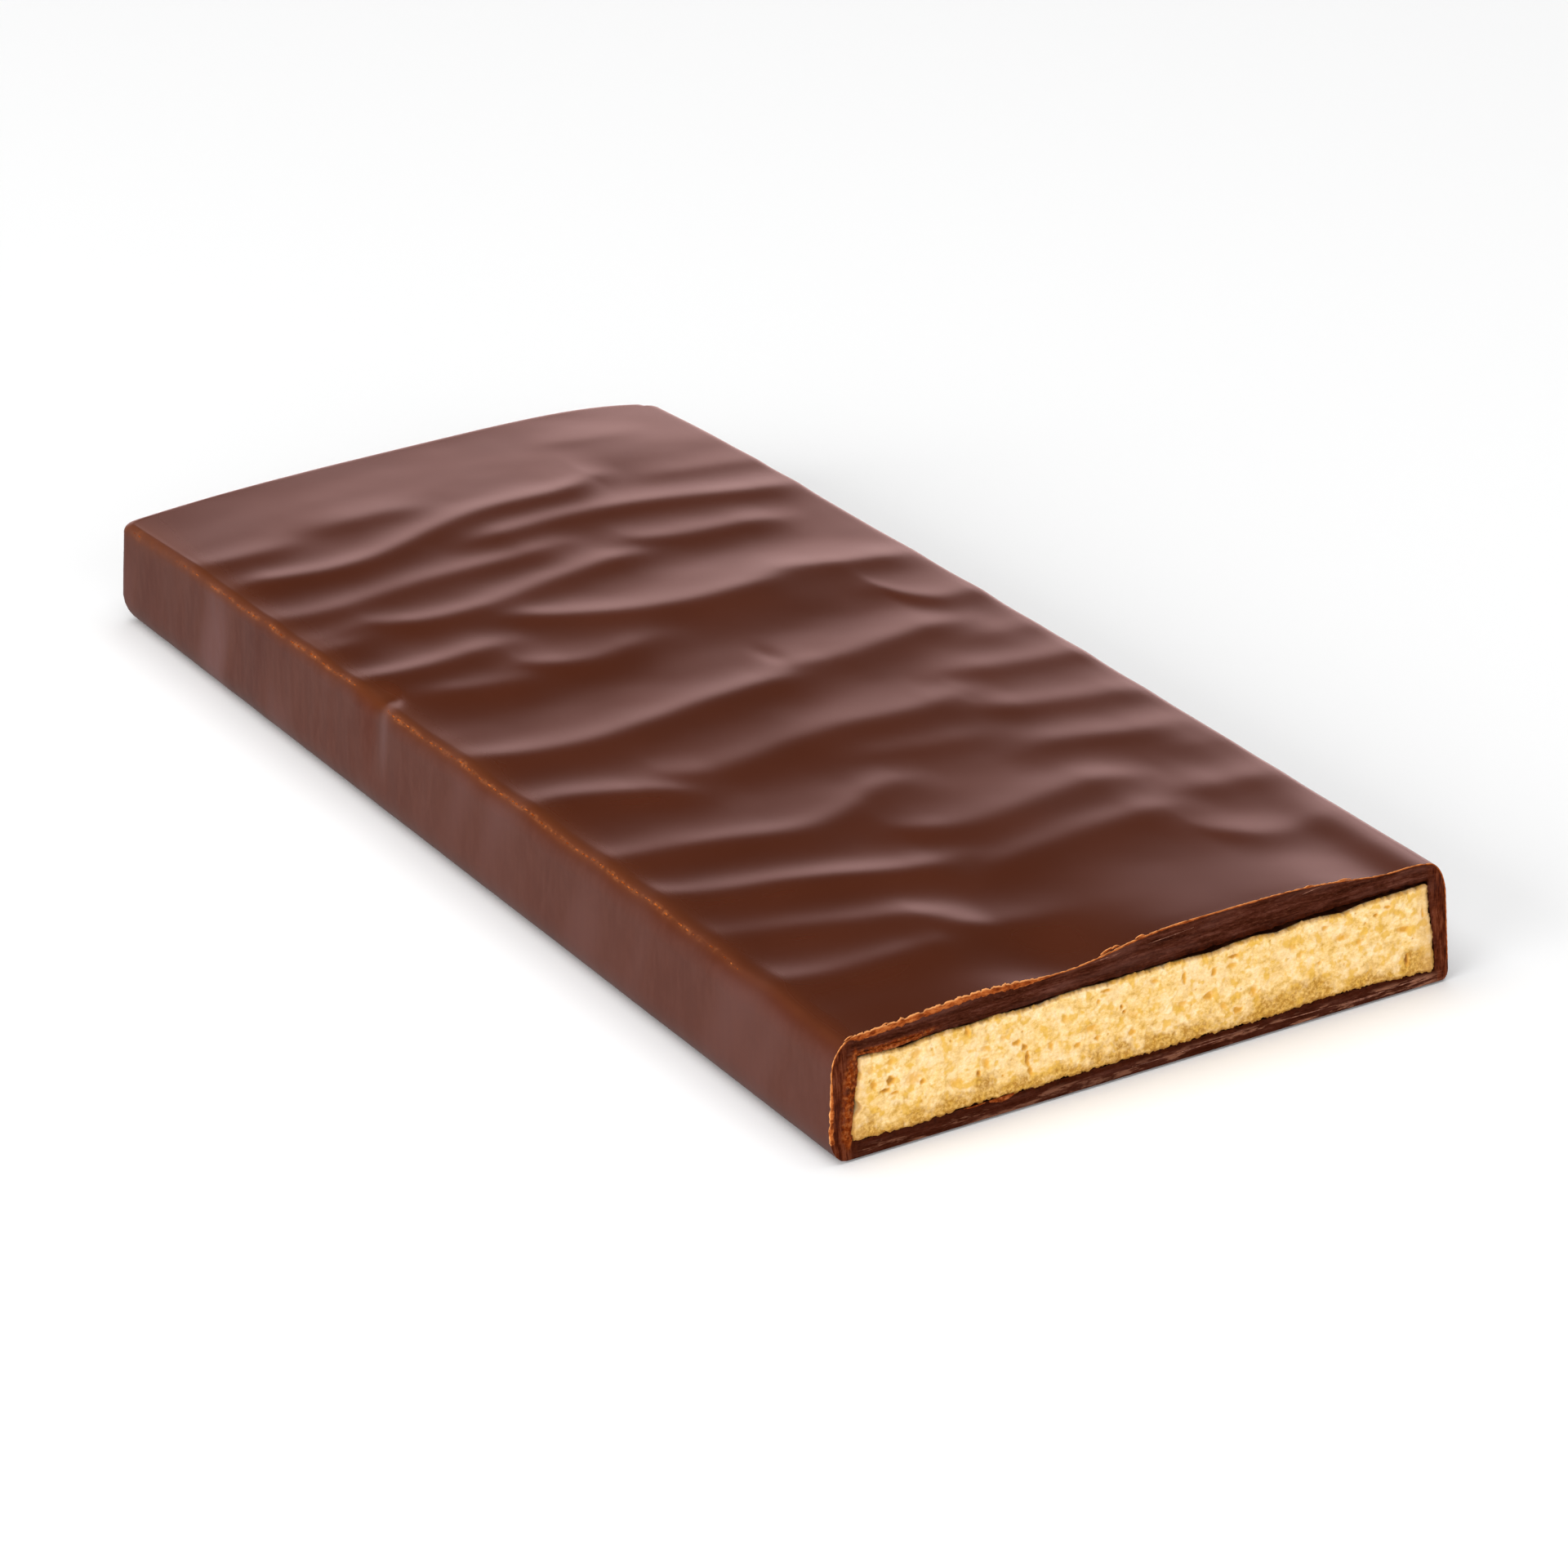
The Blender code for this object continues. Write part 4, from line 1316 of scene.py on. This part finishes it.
def even_path(points, spacing):
    """The same path with points at even spacing."""
    lengths = np.linalg.norm(np.diff(points, axis=0), axis=1)
    walked = np.concatenate([[0.0], np.cumsum(lengths)])
    steps = np.linspace(0.0, walked[-1], int(walked[-1] / spacing) + 1)
    return np.column_stack([np.interp(steps, walked, column) for column in points.T])


def directions(path):
    """Which way a path runs at each of its points, as steps of length 1."""
    steps = np.gradient(path, axis=0)
    return steps / np.linalg.norm(steps, axis=1)[:, None]


def make_bead(name, centres, radii_out, radii_up, out, up, material, sides=8):
    """A closed bead of changing size along a path, from a grid rolled round it.

    Its points keep how far they lie towards the side that faces away from the out direction.
    """
    piece = add_grid(name, len(centres) - 1, sides)

    def place(at):
        row = np.rint((at["across"] + 1) / 2 * (len(centres) - 1)).astype(int)
        angle = 2 * math.pi * at["along"]
        point = centres[row]
        point = point + out[row] * (radii_out[row] * np.cos(angle))[:, None]
        point = point + up[row] * (radii_up[row] * np.sin(angle))[:, None]
        return point.T

    edit(piece)
    place_selected(piece, place)
    bpy.ops.mesh.remove_doubles(threshold=SAME_POINT)
    select_open_edges(piece)
    bpy.ops.mesh.fill()
    leave_edit()
    keep_layer(piece, "outer", 0.5 - 0.5 * np.cos(2 * math.pi * read_layer(piece, "along")))
    finish_piece(piece, [material], BEAD_SMOOTH_ANGLE)
    return piece


def make_cut_bead(name, x, z, half, material, proud, spacing, raggedness):
    """A ragged bead lying on the cut along a line of places, its half width given at each."""
    x, z, half = even_path(np.column_stack([x, z, half]), spacing).T
    along = np.arange(len(x)) * spacing + x[0] * 3.0
    ragged = line_noise(along, 0.45, 71.0) + 0.7 * line_noise(along, 0.16, 73.0)
    half = np.maximum(half * (1.0 + raggedness * ragged), THINNEST_BEAD)
    half = np.minimum(half, HIGHEST - z)
    way_x, way_z = directions(np.column_stack([x, z])).T
    inward = np.column_stack([way_z, 0 * x, -way_x])
    middles = np.column_stack([x, CUT_PLANE + BEAD_SET_BACK - proud + 0 * x, z])
    towards = np.tile((0.0, -1.0, 0.0), (len(x), 1))
    depth = np.minimum(0.05 + 0.35 * half, DEEPEST_BEAD)
    return make_bead(name, middles, half, depth, inward, towards, material)


def lip_width(x, z):
    """Half the lip's height at a place of the outline: a broad band at the left, then a thin line."""
    band = rise(x, -26.0, -24.8) * rise(x, -7.5, -11.5)
    low_left = rise(z, 7.5, 4.0) * (x < -26.0)
    crest = rise(x, -5.0, -3.0) * rise(x, 12.0, 9.0)
    return LIP_HALF + LIP_BAND * band + LIP_LOW_LEFT * low_left + LIP_CREST * crest


def make_lip(material):
    """The broken lip along the outer edge of the cut."""
    path = even_path(outline_path(), LIP_SPACING)
    path = path[path[:, 1] > LIP_FOOT]
    x, z = path.T
    way_x, way_z = directions(path).T
    half = lip_width(x, z)
    x = x + way_z * half * LIP_INSET
    z = z - way_x * half * LIP_INSET
    make_cut_bead("cut_lip", x, z, half, material, 0.0, LIP_SPACING, LIP_RAGGEDNESS)


class Drag(NamedTuple):
    """A line that the knife left on the cut: the x and z of its points, and its half width."""

    x: tuple
    z: tuple
    half: float


CURLS = (
    Drag((-3.9, -3.5, -3.1, -2.9), (10.72, 10.86, 10.98, 11.04), 0.11),
    Drag((-2.9, -2.6, -2.2), (10.92, 11.06, 11), 0.09),
    Drag((-0.8, -0.5, -0.2, 0), (11.18, 11.28, 11.32, 11.24), 0.1),
    Drag((3.2, 3.5, 3.9, 4.4), (11.32, 11.36, 11.36, 11.33), 0.09),
    Drag((4.3, 4.8, 5.6), (11.36, 11.38, 11.36), 0.07),
    Drag((6, 6.5, 7), (11.38, 11.4, 11.38), 0.06),
    Drag((14.4, 14.8, 15.3), (11.28, 11.34, 11.24), 0.07),
    Drag((17.4, 17.9, 18.6), (11, 11.04, 10.94), 0.07),
    Drag((-22.9, -22.6, -22.4), (10.2, 10.28, 10.24), 0.05),
    Drag((-26.15, -25.8, -25.45), (9.82, 10, 10.06), 0.07),
    Drag((-27.8, -27.78, -27.64, -27.45), (3, 2.6, 2.15, 1.75), 0.13),
)

SMEARS = (
    Drag((-24.9, -23.8, -22.4, -21, -19.6), (8.44, 8.36, 8.24, 8.36, 8.5), 0.19),
    Drag((-14.1, -13.4, -12.6, -11.9), (1.34, 1.22, 1.22, 1.4), 0.2),
    Drag((-16.3, -15.2, -14.4), (1.34, 1.3, 1.36), 0.06),
)

RIDGES = (
    Drag((-4.8, -4, -3, -2.2), (10.18, 10.3, 10.36, 10.44), 0.05),
    Drag((0.3, 1.6, 3, 4.4), (10.48, 10.55, 10.64, 10.74), 0.045),
    Drag((14.2, 15.1, 16), (10.8, 10.94, 11.02), 0.045),
    Drag((-1.5, 2, 6, 10.5), (0.62, 0.6, 0.66, 0.6), 0.045),
    Drag((4, 7, 10), (0.92, 0.86, 0.9), 0.035),
    Drag((12, 14.5, 16.8), (0.72, 0.64, 0.66), 0.045),
    Drag((17.3, 18.6, 20, 21.6), (0.52, 0.44, 0.46, 0.56), 0.11),
    Drag((21.8, 23.6, 25.6), (0.6, 0.66, 0.78), 0.05),
)


def make_drags(name, drags, material, proud):
    """All the lines of one kind that the knife left, as one piece."""
    steps = np.linspace(0.0, 1.0, 9)
    thickness = 0.25 + 0.75 * np.sin(np.pi * np.clip(steps, 0.04, 0.96))
    made = []
    for drag in drags:
        knots = np.linspace(0.0, 1.0, len(drag.x))
        degree = min(3, len(drag.x) - 1)
        x, z = (np.polyval(np.polyfit(knots, row, degree), steps) for row in (drag.x, drag.z))
        half = drag.half * thickness
        bead = make_cut_bead(name, x, z, half, material, proud, DRAG_SPACING, DRAG_RAGGEDNESS)
        made.append(bead)
    deselect()
    for piece in made:
        piece.select_set(True)
    bpy.context.view_layer.objects.active = made[0]
    bpy.ops.object.join()
    made[0].name = name
    made[0].data.name = name
    deselect()


def make_scuffed_ridge(material):
    """The scuffed line along the left shoulder: raised specks where it is strongest, sunk elsewhere."""
    places, normals = scuff_line(SCUFF_SPACING)
    y = places[:, 1]
    specks = line_noise(y, 0.55, 83.0) + 0.5 * line_noise(y, 0.25, 85.0)
    strength = scuff_strength(y) * rise(specks, -0.25, 0.25)
    half = blend(SCUFF_HALVES, strength)
    sideways = np.cross(normals, (0.0, 1.0, 0.0))
    sunk = TOP_CLEARANCE + 0.04 * np.clip(1.0 - 1.5 * strength, 0.0, 1.0)
    centres = places - normals * sunk[:, None]
    make_bead("ridge_scuff", centres, half, half * 0.6, sideways, normals, material, sides=6)


# Stage, camera and light


# Where the camera stands, and how far it is turned about x, y and z in degrees
CAMERA_PLACE = (-232.89, -449.4, 224.32)
CAMERA_TURN = (66.04, 2.983, -29.182)
CAMERA_LENS = 151.05


def make_camera():
    """The camera at the photograph's viewing angle."""
    data = bpy.data.cameras.new("view")
    data.lens = CAMERA_LENS
    data.sensor_width = 36.0
    data.clip_start = 0.01
    data.clip_end = 50.0
    camera = bpy.data.objects.new("view", data)
    turn = Euler([math.radians(angle) for angle in CAMERA_TURN])
    camera.matrix_world = Matrix.LocRotScale(Vector(CAMERA_PLACE) * MM, turn, None)
    bpy.context.scene.collection.objects.link(camera)
    bpy.context.scene.camera = camera


def make_floor():
    """A pale floor just below the bar, which the bar's gloss doesn't mirror."""
    deselect()
    bpy.ops.mesh.primitive_plane_add(size=12.0, location=(0.0, 0.0, -0.2 * MM))
    floor = bpy.context.active_object
    floor.name = "pale_floor"
    floor.data.materials.append(Paint("pale_floor", (0.9, 0.9, 0.9), 0.9, 0.0).material)
    floor.visible_glossy = False


WHITE = (1.0, 1.0, 1.0)
WARM_CARD = (1.0, 0.62, 0.6)


class SoftBox(NamedTuple):
    """A rectangular soft light that faces the bar: its place and size in metres, and its power."""

    place: tuple
    size: tuple
    power: float
    colour: tuple = WHITE
    glossy: bool = False
    diffuse: bool = True


SOFT_BOXES = {
    "overhead": SoftBox((-0.1, 0.0, 1.4), (1.8, 1.8), 23.0),
    "left": SoftBox((-1.4, -0.2, 0.5), (1.6, 0.9), 18.5),
    "front": SoftBox((-0.3, -1.5, 0.5), (1.6, 0.9), 15.0),
    "low_rear": SoftBox((0.75, 1.41, 0.12), (2.6, 0.8), 11.0, WARM_CARD, True, False),
}

# How bright the room is, from low to high
ROOM_GLOW = (
    (0.25, (0.3, 0.3, 0.3)),
    (0.5, (0.35, 0.35, 0.35)),
    (0.6, (0.12, 0.12, 0.12)),
    (0.66, (0.02, 0.02, 0.02)),
)


def make_light():
    """A pale room, and soft lights round the bar."""
    world = bpy.data.worlds.new("studio")
    bpy.context.scene.world = world
    world.use_nodes = True
    room = Nodes(world.node_tree)
    glow = room.ramp(room.rescale(room.axis("Z", "Generated"), -1.0, 1.0), ROOM_GLOW)
    room.feed(room.tree.nodes["Background"].inputs["Color"], glow)
    for name, box in SOFT_BOXES.items():
        data = bpy.data.lights.new(name, "AREA")
        data.shape = "RECTANGLE"
        data.size, data.size_y = box.size
        data.energy = box.power
        data.color = box.colour
        light = bpy.data.objects.new(name, data)
        light.location = box.place
        light.rotation_euler = (-Vector(box.place)).to_track_quat("-Z", "Y").to_euler()
        light.visible_glossy = box.glossy
        light.visible_diffuse = box.diffuse
        light.visible_camera = False
        bpy.context.scene.collection.objects.link(light)
    bpy.context.scene.view_settings.view_transform = "Standard"


# The whole


set_chocolate = coat_material()
cut_chocolate = cut_material()
broken_lip = lip_material()
make_coat([set_chocolate, cut_chocolate])
make_filling(crumb_material())
make_lip(broken_lip)
make_drags("lip_curls", CURLS, broken_lip, 0.0)
make_drags("dragged_smears", SMEARS, smear_material(), 0.0)
make_drags("raised_ridges", RIDGES, ridge_material(), -0.02)
make_scuffed_ridge(broken_lip)
make_floor()
make_camera()
make_light()
